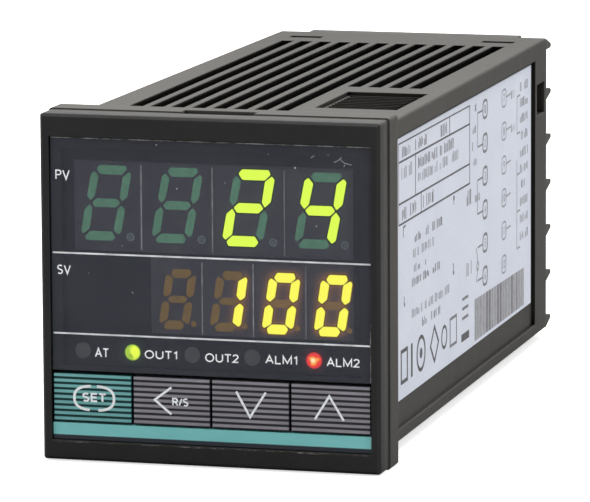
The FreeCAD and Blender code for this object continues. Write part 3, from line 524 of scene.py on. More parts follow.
floor_me = bpy.data.meshes.new("floor")
floor_me.from_pydata([(-3, -3, 0), (3, -3, 0), (3, 3, 0), (-3, 3, 0)], [], [(0, 1, 2, 3)])
floor = bpy.data.objects.new("floor", floor_me)
floor.location = (0, 0, CAD_LO.z - 0.00002)
scene.collection.objects.link(floor)
fm = bpy.data.materials.new("floor_white")
fm.use_nodes = True
ft = fm.node_tree
fb = ft.nodes["Principled BSDF"]
fb.inputs["Base Color"].default_value = (0.86, 0.86, 0.86, 1)
fb.inputs["Roughness"].default_value = 0.9
fb.inputs["Specular IOR Level"].default_value = 0.1
fb.inputs["Emission Color"].default_value = (1, 1, 1, 1)
fl = ft.nodes.new("ShaderNodeLightPath")
fcol = ft.nodes.new("ShaderNodeMix")
fcol.data_type = "RGBA"
fcol.inputs[6].default_value = (0.34, 0.34, 0.335, 1)
fcol.inputs[7].default_value = (0.86, 0.86, 0.86, 1)
ft.links.new(fl.outputs["Is Camera Ray"], fcol.inputs[0])
ft.links.new(fcol.outputs[2], fb.inputs["Base Color"])
fmr = ft.nodes.new("ShaderNodeMapRange")
fmr.inputs["To Min"].default_value = 0.0
fmr.inputs["To Max"].default_value = 0.62
ft.links.new(fl.outputs["Is Camera Ray"], fmr.inputs["Value"])
ft.links.new(fmr.outputs["Result"], fb.inputs["Emission Strength"])
floor_me.materials.append(fm)

# ---------------------------------------------------------------- finishes
# painted light on the case: painted highlights on the edges, darker sides, painted shade in the recesses and slots
HOUSING = plastic("housing_plastic", (0.046, 0.0450, 0.0408), rough=0.50, spec=0.30, vary=0.34, grain_mm=0.42, grain=0.42, bevel=0.60, edge=0.30, edge_highlight_tint=(0.085, 0.083, 0.078), shade_mm=4.0, shade_to=0.04, sides=0.66, slots=((-17.6, 8.0, 19.0), (17.6, 92.6, 22.7)))
# painted light: the case is lighter towards the front and darker towards the rear
_was = HOUSING.b.inputs["Base Color"].links[0].from_socket
_front_to_rear_light = HOUSING.node("ShaderNodeVectorMath", operation="SCALE")
HOUSING.link(_was, _front_to_rear_light.inputs[0])
HOUSING.link(HOUSING.ramp(HOUSING.axis(1), 5 * MM, 98 * MM, 1.30, 0.66), _front_to_rear_light.inputs["Scale"])
HOUSING.colour(_front_to_rear_light.outputs[0])
# painted light on the bezel: painted highlights on the edges, up-facing faces painted twice as light, painted shade in
# the recesses
BEZEL = plastic("bezel_plastic", (0.0158, 0.0162, 0.0176), rough=0.46, spec=0.34, vary=0.20, grain_mm=0.35, grain=0.25, bevel=0.30, edge=0.70, edge_highlight_tint=(0.062, 0.061, 0.058), seed=2, blotch_mm=5.0, detail_mm=0.7, shade_mm=0.8, shade_to=0.3, top=2.0)
# painted light round the bezel's sides: a painted shade band just behind the front edge and a painted highlight band
# behind that
_y = BEZEL.math("MULTIPLY", BEZEL.axis(1), 1000.0)
_light = BEZEL.math("MULTIPLY", BEZEL.ramp(_y, -6.9, -6.5), BEZEL.ramp(_y, -5.3, -5.7))
_dark = BEZEL.math("MULTIPLY", BEZEL.ramp(_y, -8.75, -8.5), BEZEL.ramp(_y, -7.0, -7.3))
_was = BEZEL.b.inputs["Base Color"].links[0].from_socket
_was = BEZEL.mix(BEZEL.math("MULTIPLY", _light, 0.55), _was, (0.046, 0.047, 0.045))
BEZEL.colour(BEZEL.mix(BEZEL.math("MULTIPLY", _dark, 0.65), _was, (0.006, 0.006, 0.006)))
TERMINAL = plastic("terminal_plastic", (0.033, 0.033, 0.031), rough=0.5, spec=0.4, vary=0.14, grain_mm=0.35, grain=0.25, bevel=0.25, edge=0.45, edge_highlight_tint=(0.08, 0.08, 0.075), seed=4, shade_mm=2.0, shade_to=0.3)
# the snaps that fill the side windows lie in deep shade
_side = TERMINAL.ramp(TERMINAL.math("ABSOLUTE", TERMINAL.axis(0)), 19.40 * MM, 19.50 * MM)
_side = TERMINAL.math("MULTIPLY", _side, TERMINAL.ramp(TERMINAL.axis(1), 100.6 * MM, 100.4 * MM))
_was = TERMINAL.b.inputs["Base Color"].links[0].from_socket
TERMINAL.colour(TERMINAL.mix(_side, _was, (0.003, 0.003, 0.003)))
TERMINAL.link(TERMINAL.ramp(_side, 0.0, 1.0, 0.4, 0.04), TERMINAL.b.inputs["Specular IOR Level"])
FILM = Mat("label_film", srgb(220, 227, 243), 0.50, 0.0, 0.30)
_c = FILM.noise(9.0, 4, 0.6, seed=1)
_f = FILM.noise(0.45, 3, 0.6, seed=6)
_m = FILM.math("ADD", FILM.math("MULTIPLY", _c, 0.45), FILM.math("MULTIPLY", _f, 0.55))
FILM.colour(FILM.mix(FILM.ramp(_m, 0.36, 0.64), srgb(214, 222, 240), srgb(227, 232, 245)))
FILM.link(FILM.ramp(_c, 0.3, 0.7, 0.42, 0.58), FILM.b.inputs["Roughness"])
FILM.link(FILM.bump(_f, 0.12, 0.02), FILM.b.inputs["Normal"])

WINDOW = Mat("window_pane", (0.040, 0.049, 0.068), 0.13, 0.0, 0.42, Alpha=0.46)
_w = WINDOW.noise(16.0, 2, 0.5, seed=2)
WINDOW.link(WINDOW.ramp(_w, 0.35, 0.65, 0.10, 0.17), WINDOW.b.inputs["Roughness"])
_d = WINDOW.noise(6.0, 3, 0.6, seed=7)
WINDOW.colour(WINDOW.mix(WINDOW.ramp(_d, 0.33, 0.67), (0.068, 0.077, 0.106), (0.086, 0.094, 0.126)))

# painted light: the module face glows faintly, standing in for light that reaches it through the pane
MODULE = Mat("display_module_face", (0.30, 0.28, 0.33), 0.55, 0.0, 0.3, Emission_Color=(0.66, 0.64, 0.90, 1), Emission_Strength=0.016)
_n = MODULE.noise(2.2, 4, 0.6)
MODULE.colour(MODULE.mix(MODULE.ramp(_n, 0.35, 0.65), (0.235, 0.218, 0.265), (0.300, 0.278, 0.320)))
MODULE.link(MODULE.bump(_n, 0.1, 0.02), MODULE.b.inputs["Normal"])
SURROUND = plastic("dark_surround", (0.010, 0.012, 0.016), rough=0.6, spec=0.15, grain_mm=0.3, grain=0.15, bevel=0.1, seed=8)


def key_material(name, ridge, groove, seed):
    """Ribbed key cap: coloured ribs, dark grooves that follow the moulded pitch."""
    m = Mat(name, ridge, 0.42, 0.0, 0.4)
    z = m.axis(2)
    turns = m.math("DIVIDE", m.math("ADD", z, 12.5 * MM), 0.75 * MM)
    fr = m.math("FRACT", m.math("ADD", turns, 100.5))
    dist = m.math("ABSOLUTE", m.math("SUBTRACT", fr, 0.5))
    rib = m.ramp(dist, 0.18, 0.30)
    n = m.noise(2.0, 4, 0.65, stretch=(3, 1, 0.6), seed=seed)
    tone = m.mix(m.ramp(n, 0.32, 0.68), tuple(c * 0.82 for c in ridge), tuple(min(c * 1.12, 1) for c in ridge))
    # only the front of the cap is printed
    y = m.axis(1)
    face = m.ramp(y, -8.2 * MM, -8.25 * MM)
    col = m.mix(m.math("MULTIPLY", rib, face), groove, tone)
    m.colour(col)
    m.link(m.ramp(rib, 0, 1, 0.6, 0.40), m.b.inputs["Roughness"])
    rn = m.rounded_normal(0.06)
    m.link(m.bump(n, 0.12, 0.02, rn), m.b.inputs["Normal"])
    return m


KEY_TEAL = key_material("key_teal", (0.21, 0.56, 0.575), (0.010, 0.062, 0.066), 1)
KEY_GREY = key_material("key_grey", (0.33, 0.318, 0.372), (0.040, 0.040, 0.050), 2)

TEAL = Mat("teal_film", (0.20, 0.60, 0.56), 0.36, 0.0, 0.4)
_z = TEAL.axis(2)
_n = TEAL.noise(3.0, 4, 0.6, stretch=(3, 1, 1), seed=4)
_band = TEAL.ramp(_z, -20.46 * MM, -20.36 * MM)
TEAL.colour(TEAL.mix(_band, (0.030, 0.037, 0.052), TEAL.mix(TEAL.ramp(_n, 0.3, 0.7), (0.235, 0.70, 0.71), (0.275, 0.76, 0.77))))
TEAL.link(TEAL.ramp(_n, 0.3, 0.7, 0.30, 0.42), TEAL.b.inputs["Roughness"])

# painted light: the pane's white print and rules glow a little so they read bright
WHITE_INK = ink("white_ink", (0.86, 0.88, 0.90), light=0.30)
LINE_INK = ink("line_ink", (0.74, 0.77, 0.80), vary=0.35, size_mm=2.2, light=0.22)
# painted highlight: a broken glint for the pane film's rim
PANE_GLINT = Mat("pane_edge_glint", (0.30, 0.31, 0.32), 0.4, 0.0, 0.5)
_n = PANE_GLINT.noise(1.3, 5, 0.75, seed=9)
PANE_GLINT.colour(PANE_GLINT.mix(PANE_GLINT.ramp(_n, 0.42, 0.66), (0.03, 0.03, 0.035), (0.55, 0.56, 0.55)))

assign(HOUSING, "rear_case")
assign(BEZEL, "front_bezel")
assign(TERMINAL, "terminal_block")
assign(FILM, "rating_label")
assign(WINDOW, "front_window")
assign(MODULE, "pv_display", "sv_display")
assign(SURROUND, "display_frame", "led_holder")
assign(KEY_TEAL, "key_set")
assign(KEY_GREY, "key_shift", "key_down", "key_up")
assign(TEAL, "nameplate_strip")

# ---------------------------------------------------------------- seven-segment digits
SEG = {
    "a": [(-1.86, 5.24), (1.86, 5.24), (2.22, 4.66), (1.56, 3.86), (-1.56, 3.86), (-2.22, 4.66)],
    "b": [(2.46, 4.40), (2.90, 3.98), (2.92, 0.92), (2.24, 0.18), (1.74, 0.84), (1.66, 3.64)],
    "g": [(-2.05, 0.0), (-1.50, 0.64), (1.50, 0.64), (2.05, 0.0), (1.50, -0.64), (-1.50, -0.64)],
}
SEG["d"] = [(x, -z) for x, z in SEG["a"]]
SEG["c"] = [(x, -z) for x, z in SEG["b"]]
SEG["e"] = [(-x, -z) for x, z in SEG["b"]]
SEG["f"] = [(-x, z) for x, z in SEG["b"]]
# the lower row's bars are shorter and fuller
SEG_LOW = {
    "a": [(-1.20, 4.22), (1.20, 4.22), (1.53, 3.50), (0.95, 2.88), (-0.95, 2.88), (-1.53, 3.50)],
    "b": [(1.92, 3.46), (2.22, 3.10), (2.23, 0.62), (1.60, 0.16), (0.98, 0.80), (0.96, 2.86)],
    "g": [(-1.50, 0.0), (-0.98, 0.55), (0.98, 0.55), (1.50, 0.0), (0.98, -0.55), (-0.98, -0.55)],
}
SEG_LOW["d"] = [(x, -z) for x, z in SEG_LOW["a"]]
SEG_LOW["c"] = [(x, -z) for x, z in SEG_LOW["b"]]
SEG_LOW["e"] = [(-x, -z) for x, z in SEG_LOW["b"]]
SEG_LOW["f"] = [(-x, z) for x, z in SEG_LOW["b"]]


def placed(seg, x0, z0, kind):
    shape, slant = (SEG, 0.19) if kind == "green" else (SEG_LOW, 0.155)
    return ccw([(x0 + x + slant * z, z0 + z) for x, z in shape[seg]])


def glow_material(name, strength, base=(0.03, 0.03, 0.03), rough=0.5, attr="glow"):
    m = Mat(name, base, rough, 0.0, 0.2)
    a = m.node("ShaderNodeAttribute", attribute_type="GEOMETRY", attribute_name=attr)
    m.link(a.outputs["Color"], m.b.inputs["Emission Color"])
    m.b.inputs["Emission Strength"].default_value = strength
    return m


def ghost_material(name, colour, light):
    """An unlit segment seen through the pane: a dull tinted diffuser that glows faintly, painted light in place of the
    light it catches.
    """
    m = Mat(name, colour, 0.6, 0.0, 0.2)
    n = m.noise(0.8, 4, 0.7, seed=2)
    c = m.mix(m.ramp(n, 0.3, 0.7), tuple(v * 0.8 for v in colour), tuple(v * 1.12 for v in colour))
    m.colour(c)
    m.link(c, m.b.inputs["Emission Color"])
    m.b.inputs["Emission Strength"].default_value = light
    m.link(m.bump(n, 0.1, 0.02), m.b.inputs["Normal"])
    return m


GHOST_GREEN = ghost_material("segment_off_green", (0.170, 0.440, 0.270), 0.90)
GHOST_AMBER = ghost_material("segment_off_amber", (0.345, 0.205, 0.036), 0.92)
GHOST_DOT = ghost_material("point_off", (0.30, 0.37, 0.39), 0.20)
GHOST_RING = ghost_material("point_ring", (0.50, 0.62, 0.64), 0.22)
# painted light: unlit bars inside lit digits glow warmer, as if lit by the bars round them
GHOST_WARM = ghost_material("segment_off_warmed", (0.36, 0.20, 0.05), 1.15)
LIT = glow_material("segment_lit", 5.2)

# digit cells: x0, z0, lit bars, kind
DIGITS = [
    (-15.09, 11.57, "", "green"),
    (-5.02, 11.57, "", "green"),
    (5.05, 11.57, "abged", "green"),
    (15.06, 11.57, "fgbc", "green"),
    (-5.05, -1.30, "", "amber"),
    (2.15, -1.30, "bc", "amber"),
    (9.545, -1.30, "abcdef", "amber"),
    (16.83, -1.30, "abcdef", "amber"),
]
CORE = {"green": (0.455, 0.62, 0.034), "amber": (0.62, 0.60, 0.048)}
RIM = {"green": (0.002, 0.009, 0.000), "amber": (0.060, 0.021, 0.000)}
FACE_Y = -7.0

ghost = {"green": Geo(), "amber": Geo(), "dot": Geo(), "warm": Geo()}
for x0, z0, lit, kind in DIGITS:
    for s in "abcdefg":
        if s not in lit:
            # unlit bars inside lit amber digits take the warmer painted glow
            to = "warm" if kind == "amber" and len(lit) > 5 else kind
            shape = offset_poly(placed(s, x0, z0, kind), -0.06 if kind == "green" else -0.07 if to == "amber" else 0.0)
            ghost[to].prism(round_poly(shape, 0.16), front, FACE_Y - 0.05, FACE_Y + 0.02)
    if kind == "green":
        c = (x0 + 3.43, 7.0)
        ghost["dot"].cyl(c, 0.62, FACE_Y - 0.05, FACE_Y + 0.02, front, 28, idx=0)
        ghost["dot"].ring(c, 0.36, 0.52, FACE_Y - 0.06, FACE_Y - 0.04, front, 28, 1)
        ghost["dot"].cyl(c, 0.13, FACE_Y - 0.07, FACE_Y - 0.04, front, 12, idx=1)
    elif len(lit) > 5:
        ghost["warm"].cyl((x0 + 2.26, -4.62), 0.38, FACE_Y - 0.05, FACE_Y + 0.02, front)
    else:
        ghost[kind].cyl((x0 + 2.26, -4.62), 0.40, FACE_Y - 0.05, FACE_Y + 0.02, front)
ghost["green"].make("pv_segments_off", GHOST_GREEN, "chassis", slot="display_module")
ghost["amber"].make("sv_segments_off", GHOST_AMBER, "chassis", slot="display_module")
ghost["dot"].make("pv_points_off", [GHOST_DOT, GHOST_RING], "chassis", slot="display_module")
ghost["warm"].make("sv_bars_in_lit_digits", GHOST_WARM, "chassis", slot="display_module")


def lit_segments(kind, name):
    verts, faces, cols = [], [], []
    for x0, z0, lit, k in DIGITS:
        if k != kind:
            continue
        for s in lit:
            p = placed(s, x0, z0, kind)
            # bright core, narrow fall-off, dim rim
            loops = [round_poly(offset_poly(p, d), r, 4) for d, r in ((0.20, 0.24), (0.07, 0.20), (-0.02, 0.18))] if kind == "green" else [round_poly(offset_poly(p, d), r, 4) for d, r in ((0.16, 0.24), (0.04, 0.22), (-0.07, 0.20))]
            n, b = len(loops[0]), len(verts)
            y = FACE_Y - 0.06
            verts += [(u, FACE_Y + 0.02, v) for u, v in loops[0]]
            verts += [(u, y + 0.006, v) for u, v in loops[0]]
            verts += [(u, y + 0.003, v) for u, v in loops[1]]
            verts += [(u, y, v) for u, v in loops[2]]
            cols += [RIM[kind]] * (3 * n) + [CORE[kind]] * n
            for q in range(3):
                for i in range(n):
                    j = (i + 1) % n
                    faces.append((b + q * n + i, b + q * n + j, b + (q + 1) * n + j, b + (q + 1) * n + i))
            faces.append(tuple(b + 3 * n + i for i in range(n)))
            faces.append(tuple(b + i for i in range(n - 1, -1, -1)))
    return make(name, verts, faces, LIT, "chassis", cols=cols, slot="display_module")


lit_segments("green", "pv_segments_lit")
lit_segments("amber", "sv_segments_lit")


def distance_to(points, poly):
    """Distance of each point to a convex outline, 0 inside it."""
    p = np.array(poly)
    q = np.roll(p, -1, axis=0)
    best = np.full(len(points), 1e9)
    inside = np.ones(len(points), bool)
    for a, b in zip(p, q):
        ab = b - a
        t = np.clip(((points - a) @ ab) / (ab @ ab), 0, 1)
        best = np.minimum(best, np.linalg.norm(points - (a + t[:, None] * ab), axis=1))
        inside &= ((points[:, 0] - a[0]) * ab[1] - (points[:, 1] - a[1]) * ab[0]) <= 0
    best[inside] = 0.0
    return best


# near colour, far colour, near reach, far reach
HALO = {"green": ((0.010, 0.030, 0.001), (0.004, 0.008, 0.001), 0.25, 1.2), "amber": ((0.40, 0.15, 0.001), (0.190, 0.072, 0.018), 0.28, 1.05)}
HALO_MAT = glow_material("segment_halo", 1.0, base=(0.30, 0.28, 0.33), rough=0.55)


def halo(kind, name):
    """The light that spills round the lit bars, on a fine sheet over each module face."""
    verts, faces, cols = [], [], []
    near, far, reach, spread = HALO[kind]
    for x0, z0, lit, k in DIGITS:
        if k != kind or not lit:
            continue
        if kind == "green":
            xa, xb, za, zb = x0 - 4.6, min(x0 + 4.6, 19.15), z0 - 6.1, z0 + 5.5
        else:
            xa, xb, za, zb = max(x0 - 3.5, -8.7), min(x0 + 3.55, 19.15), z0 - 4.75, z0 + 5.25
        nx, nz = int((xb - xa) / 0.16), int((zb - za) / 0.16)
        gx, gz = np.meshgrid(np.linspace(xa, xb, nx + 1), np.linspace(za, zb, nz + 1))
        pts = np.stack([gx.ravel(), gz.ravel()], 1)
        light, wide = np.zeros(len(pts)), np.zeros(len(pts))
        for s in lit:
            d = distance_to(pts, placed(s, x0, z0, kind))
            light += np.exp(-((d / reach) ** 1.2))
            wide += np.exp(-((d / spread) ** 1.6)) / 2.2
        light, wide = np.minimum(light, 1.2), np.minimum(wide, 1.0)
        edge = np.minimum.reduce([pts[:, 0] - xa, xb - pts[:, 0], pts[:, 1] - za, zb - pts[:, 1]])
        fade = np.clip(edge / 0.9, 0, 1)
        b = len(verts)
        verts += [(x, FACE_Y - 0.012, z) for x, z in pts]
        cols += [tuple((p * a + q * b) * f + own for p, q, own in zip(near, far, (0.0145, 0.0141, 0.0198))) for a, b, f in zip(light, wide, fade)]
        for j in range(nz):
            for i in range(nx):
                a = b + j * (nx + 1) + i
                faces.append((a, a + 1, a + nx + 2, a + nx + 1))
    return make(name, verts, faces, HALO_MAT, "chassis", cols=cols, slot="display_module")


halo("green", "pv_light_spill")
halo("amber", "sv_light_spill")

# joints between the digit modules, seen as thin pale lines; the lines also glow, painted light
DIVIDER = [ink("module_joint", (0.74, 0.74, 0.80), vary=0.45, size_mm=1.8, light=0.55), ink("module_joint_dim", (0.66, 0.65, 0.70), vary=0.45, size_mm=1.8, light=0.50), ink("module_joint_faint", (0.52, 0.51, 0.56), vary=0.45, size_mm=1.8, light=0.45)]
g = Geo()
for k, x in ((0, -10.1), (1, -0.05), (2, 10.05)):
    g.box((x - 0.09, FACE_Y - 0.03, 5.25), (x + 0.09, FACE_Y + 0.05, 16.9), idx=k)
for k, x in ((1, -1.58), (0, 5.62), (2, 13.0)):
    g.box((x - 0.08, FACE_Y - 0.03, -6.05), (x + 0.08, FACE_Y + 0.05, 3.95), idx=k)
g.make("module_joint_lines", DIVIDER, "chassis", slot="display_module")

# ---------------------------------------------------------------- lamps
LAMP_X = (-18.58, -11.50, -3.03, 5.45, 14.14)
LAMP_Z = -8.88


def lens(name, x, z, mat, cols=None, r=1.12):
    """A shallow domed lamp end with rings fine enough to carry its light."""
    verts, faces, cc = [(x, -7.27, z)], [], [cols(0, 0) if cols else (0, 0, 0)]
    n, rings = 32, 8
    for k in range(1, rings + 1):
        rr = r * k / rings
        y = -7.27 + 0.16 * (k / rings) ** 2.2
        for i in range(n):
            a = 2 * math.pi * i / n
            verts.append((x + rr * math.cos(a), y, z + rr * math.sin(a)))
            cc.append(cols(rr / r * math.cos(a), rr / r * math.sin(a)) if cols else (0, 0, 0))
    for i in range(n):
        faces.append((0, 1 + i, 1 + (i + 1) % n))
    for k in range(rings - 1):
        for i in range(n):
            a, b = 1 + k * n + i, 1 + k * n + (i + 1) % n
            faces.append((a, a + n, b + n, b))
    base = 1 + (rings - 1) * n
    m = len(verts)
    for i in range(n):
        a = 2 * math.pi * i / n
        verts.append((x + r * math.cos(a), -7.06, z + r * math.sin(a)))
        cc.append((0, 0, 0))
    for i in range(n):
        faces.append((base + i, m + i, m + (i + 1) % n, base + (i + 1) % n))
    faces.append(tuple(m + i for i in range(n - 1, -1, -1)))
    return make(name, verts, faces, mat, "chassis", smooth=True, cols=cc, slot="lamp_lens")


# painted light: the off lamps glow faintly
LAMP_OFF = ghost_material("lamp_off", (0.235, 0.243, 0.240), 0.26)
LAMP_LIT = glow_material("lamp_lit", 3.2, base=(0.06, 0.06, 0.06), rough=0.3)


def smooth(a, b, x):
    t = min(max((x - a) / (b - a), 0), 1)
    return t * t * (3 - 2 * t)


def blend3(a, b, t):
    return tuple(p + (q - p) * t for p, q in zip(a, b))


def green_lamp(u, v):
    """Bright body with a darker crescent at the lower left."""
    rim = smooth(0.82, 1.0, math.hypot(u, v))
    dark = smooth(0.55, 0.9, math.hypot(u - 0.45, v - 0.25)) * (1 if u < 0.1 else 0.3)
    spot = smooth(0.30, 0.10, math.hypot(u + 0.25, v + 0.35))
    c = blend3((0.84, 1.02, 0.05), (0.20, 0.42, 0.02), 0.7 * dark)
    c = blend3(c, (0.16, 0.34, 0.02), 0.6 * spot)
    return blend3(c, (0.10, 0.30, 0.02), rim)


def red_lamp(u, v):
    """Red body, yellow-orange heart with an uneven outline."""
    r = math.hypot(u, v)
    a = math.atan2(v, u)
    heart = 0.50 + 0.13 * math.sin(3 * a + 0.6) + 0.07 * math.sin(5 * a)
    c = blend3((1.0, 0.34, 0.03), (0.80, 0.026, 0.020), smooth(heart - 0.12, heart + 0.16, r))
    c = blend3(c, (1.0, 0.80, 0.42), smooth(0.42, 0.14, math.hypot(u + 0.10, v - 0.02)))
    return blend3(c, (0.36, 0.008, 0.008), smooth(0.86, 1.0, r))


lens("lamp_at", LAMP_X[0], LAMP_Z, LAMP_OFF)
lens("lamp_out_one", LAMP_X[1], LAMP_Z, LAMP_LIT, green_lamp)
lens("lamp_out_two", LAMP_X[2], LAMP_Z, LAMP_OFF)
lens("lamp_alarm_one", LAMP_X[3], LAMP_Z, LAMP_OFF)
lens("lamp_alarm_two", LAMP_X[4], LAMP_Z, LAMP_LIT, red_lamp)
# painted light: the lamp bodies glow faintly
LED_BODY = ghost_material("lamp_body", (0.16, 0.17, 0.16), 0.05)
assign(LED_BODY, "indicator_leds")

# light that the two lit lamps throw on the holder
verts, faces, cols = [], [], []
for lx, tint in ((LAMP_X[1], (0.05, 0.085, 0.004)), (LAMP_X[4], (0.16, 0.010, 0.006))):
    b, n, rings = len(verts), 36, 8
    for k in range(rings + 1):
        rr = 1.02 + (2.2 - 1.02) * k / rings
        fall = (1 - k / rings) ** 2
        for i in range(n):
            a = 2 * math.pi * i / n
            zz = min(max(LAMP_Z + rr * math.sin(a), -10.7), -7.05)
            verts.append((lx + rr * math.cos(a), -7.012, zz))
            cols.append(tuple(c * fall for c in tint))
    for k in range(rings):
        for i in range(n):
            p, q = b + k * n + i, b + k * n + (i + 1) % n
            faces.append((p, p + n, q + n, q))
make("lamp_light_spill", verts, faces, glow_material("lamp_spill", 1.0, base=(0.022, 0.026, 0.034), rough=0.55), "chassis", cols=cols, slot="lamp_lens")

# ---------------------------------------------------------------- print on the pane
PANE = -8.5
g = Geo()
for z in (4.75, -6.35):
    g.box((-22.3, PANE - 0.02, z - 0.115), (22.45, PANE, z + 0.115))
g.make("pane_rules", LINE_INK, "chassis", slot="smoked_window")
g = Geo()
LEGENDS = [
    ("PV", -21.85, -19.74, 14.77, 16.15),
    ("SV", -21.76, -19.74, 1.77, 3.09),
    ("AT", -16.47, -14.42, -9.51, -8.21),
    ("OUT1", -9.41, -4.61, -9.38, -8.20),
    ("OUT2", -0.84, 3.99, -9.47, -8.26),
    ("ALM1", 7.65, 12.30, -9.36, -8.14),
    ("ALM2", 16.24, 20.92, -9.36, -8.14),
]


def arc(cx, cy, rx, ry, a0, a1, n=10):
    return [(cx + rx * math.cos(math.radians(a0 + (a1 - a0) * k / n)), cy + ry * math.sin(math.radians(a0 + (a1 - a0) * k / n))) for k in range(n + 1)]


# plain single-stroke capitals: advance width, then strokes on a cap height of 1
GLYPHS = {
    "A": (0.78, [[(0.02, 0), (0.39, 1), (0.76, 0)], [(0.17, 0.34), (0.61, 0.34)]]),
    "E": (0.62, [[(0.60, 1), (0.04, 1), (0.04, 0), (0.60, 0)], [(0.04, 0.52), (0.54, 0.52)]]),
    "L": (0.58, [[(0.04, 1), (0.04, 0), (0.56, 0)]]),
    "M": (0.90, [[(0.04, 0), (0.04, 1), (0.45, 0.12), (0.86, 1), (0.86, 0)]]),
    "O": (0.92, [arc(0.46, 0.5, 0.42, 0.5, 90, 450, 28)]),
    "P": (0.64, [[(0.04, 0), (0.04, 1)] + arc(0.36, 0.745, 0.25, 0.255, 90, -90, 10) + [(0.04, 0.49)]]),
    "R": (0.72, [[(0.04, 0), (0.04, 1)] + arc(0.38, 0.745, 0.25, 0.255, 90, -90, 10) + [(0.04, 0.49)], [(0.36, 0.49), (0.69, 0)]]),
    "S": (0.66, [arc(0.33, 0.745, 0.27, 0.255, 35, 205, 10)[:-1] + [(0.10, 0.60), (0.33, 0.51), (0.56, 0.41)] + arc(0.33, 0.26, 0.27, 0.26, 25, -145, 10)[1:]]),
    "T": (0.66, [[(0.0, 1), (0.66, 1)], [(0.33, 1), (0.33, 0)]]),
    "U": (0.78, [[(0.05, 1), (0.05, 0.36)] + arc(0.39, 0.35, 0.34, 0.35, 180, 360, 12) + [(0.73, 0.36), (0.73, 1)]]),
    "V": (0.72, [[(0.0, 1), (0.36, 0), (0.72, 1)]]),
    "/": (0.36, [[(0.0, 0), (0.34, 1)]]),
    "1": (0.40, [[(0.06, 0.78), (0.30, 0.98), (0.30, 0)]]),
    "2": (0.60, [arc(0.30, 0.73, 0.26, 0.27, 165, -25, 10) + [(0.04, 0.04), (0.60, 0.04)]]),
}
SPACE = 0.20


def letters(geo, s, u0, u1, v0, v1, w, d, place, idx=0, thick=0.02):
    """Single-stroke lettering fitted to a box, stroke width w."""
    total = sum(GLYPHS[c][0] for c in s) + SPACE * (len(s) - 1)
    iu0, iu1, iv0, iv1 = u0 + w / 2, u1 - w / 2, v0 + w / 2, v1 - w / 2
    su, sv, u = (iu1 - iu0) / total, iv1 - iv0, 0.0
    for c in s:
        adv, strokes = GLYPHS[c]
        for st in strokes:
            pts = [(iu0 + su * (u + x), iv0 + sv * y) for x, y in st]
            geo.stroke(pts, w, d - thick, d, place, idx)
        u += adv + SPACE


for s, a, b, c, d in LEGENDS:
    letters(g, s, a, b, c, d, 0.18, PANE, front)
g.make("pane_legends", WHITE_INK, "chassis", slot="smoked_window")
# painted highlight: a broken bright glint along the rim of the pane film
g = Geo()
g.box((-22.46, PANE - 0.025, 20.50), (22.46, PANE - 0.002, 20.62))
g.box((22.34, PANE - 0.025, -11.3), (22.46, PANE - 0.002, -3.4))
g.make("pane_rim", PANE_GLINT, "chassis", slot="smoked_window")
# the printed border inside the pane, as dark as the field round the digits
BORDER = Mat("pane_border", (0.033, 0.037, 0.050), 0.5, 0.0, 0.2)
g = Geo()
for lo, hi in (((-22.5, -11.45), (-20.95, 20.65)), ((20.95, -11.45), (22.5, 20.65)), ((-20.95, 19.15), (20.95, 20.65)), ((-20.95, -11.45), (20.95, -10.75))):
    g.box((lo[0] + 0.01, -8.44, lo[1] + 0.01), (hi[0] - 0.01, -8.42, hi[1] - 0.01))
g.make("pane_border", BORDER, "chassis", slot="smoked_window")
# a few specks of dust and fine scratches on the pane, glowing faintly with painted light
SPECK = ink("pane_specks", (0.50, 0.50, 0.52), vary=0.3, size_mm=0.3, light=0.05)
g = Geo()
for x, z, r0 in ((-4.58, 14.09, 0.10), (14.93, 9.69, 0.09), (-10.99, -0.36, 0.09), (-7.41, 19.96, 0.10), (2.21, 15.11, 0.06), (12.0, 17.5, 0.13), (16.6, 19.39, 0.06), (-17.2, 2.1, 0.05), (8.3, 19.2, 0.06), (-12.4, 6.0, 0.05)):
    g.cyl((x, z), r0, -8.512, -8.500, front, 8)
for pts in ([(17.4, 18.42), (17.9, 18.62), (18.5, 19.12)], [(18.2, 18.85), (18.9, 18.35), (19.9, 18.12)], [(14.2, 18.9), (14.7, 19.25)], [(18.75, 17.85), (18.95, 18.15)]):
    g.stroke(pts, 0.07, -8.512, -8.500, front)
g.make("pane_specks", SPECK, "chassis", slot="smoked_window")
# painted highlight: a scratchy glint along the foot of the front recess
RECESS_GLINT = Mat("foot_glint", (0.06, 0.055, 0.05), 0.45, 0.0, 0.5)
_n = RECESS_GLINT.noise(0.9, 5, 0.8, stretch=(2.4, 1, 0.5), seed=12)
RECESS_GLINT.colour(RECESS_GLINT.mix(RECESS_GLINT.ramp(_n, 0.50, 0.68), (0.018, 0.018, 0.018), (0.36, 0.33, 0.31)))
g = Geo()
g.box((-22.4, -9.012, -21.36), (22.4, -8.99, -21.20))
g.make("recess_rubbed_edge", RECESS_GLINT, "chassis", slot="housing")

# ---------------------------------------------------------------- key legends
# painted light: the key legends glow a little so they read bright
KEY_INK = ink("key_legend_ink", (0.84, 0.88, 0.92), light=0.22)
KY = -8.6


def squircle(cx, cz, a, b, t0, t1, n=28, p=2.6):
    """Part of a rounded oval, t in radians."""
    out = []
    for k in range(n + 1):
        t = t0 + (t1 - t0) * k / n
        c, s = math.cos(t), math.sin(t)
        out.append((cx + a * math.copysign(abs(c) ** (2 / p), c), cz + b * math.copysign(abs(s) ** (2 / p), s)))
    return out


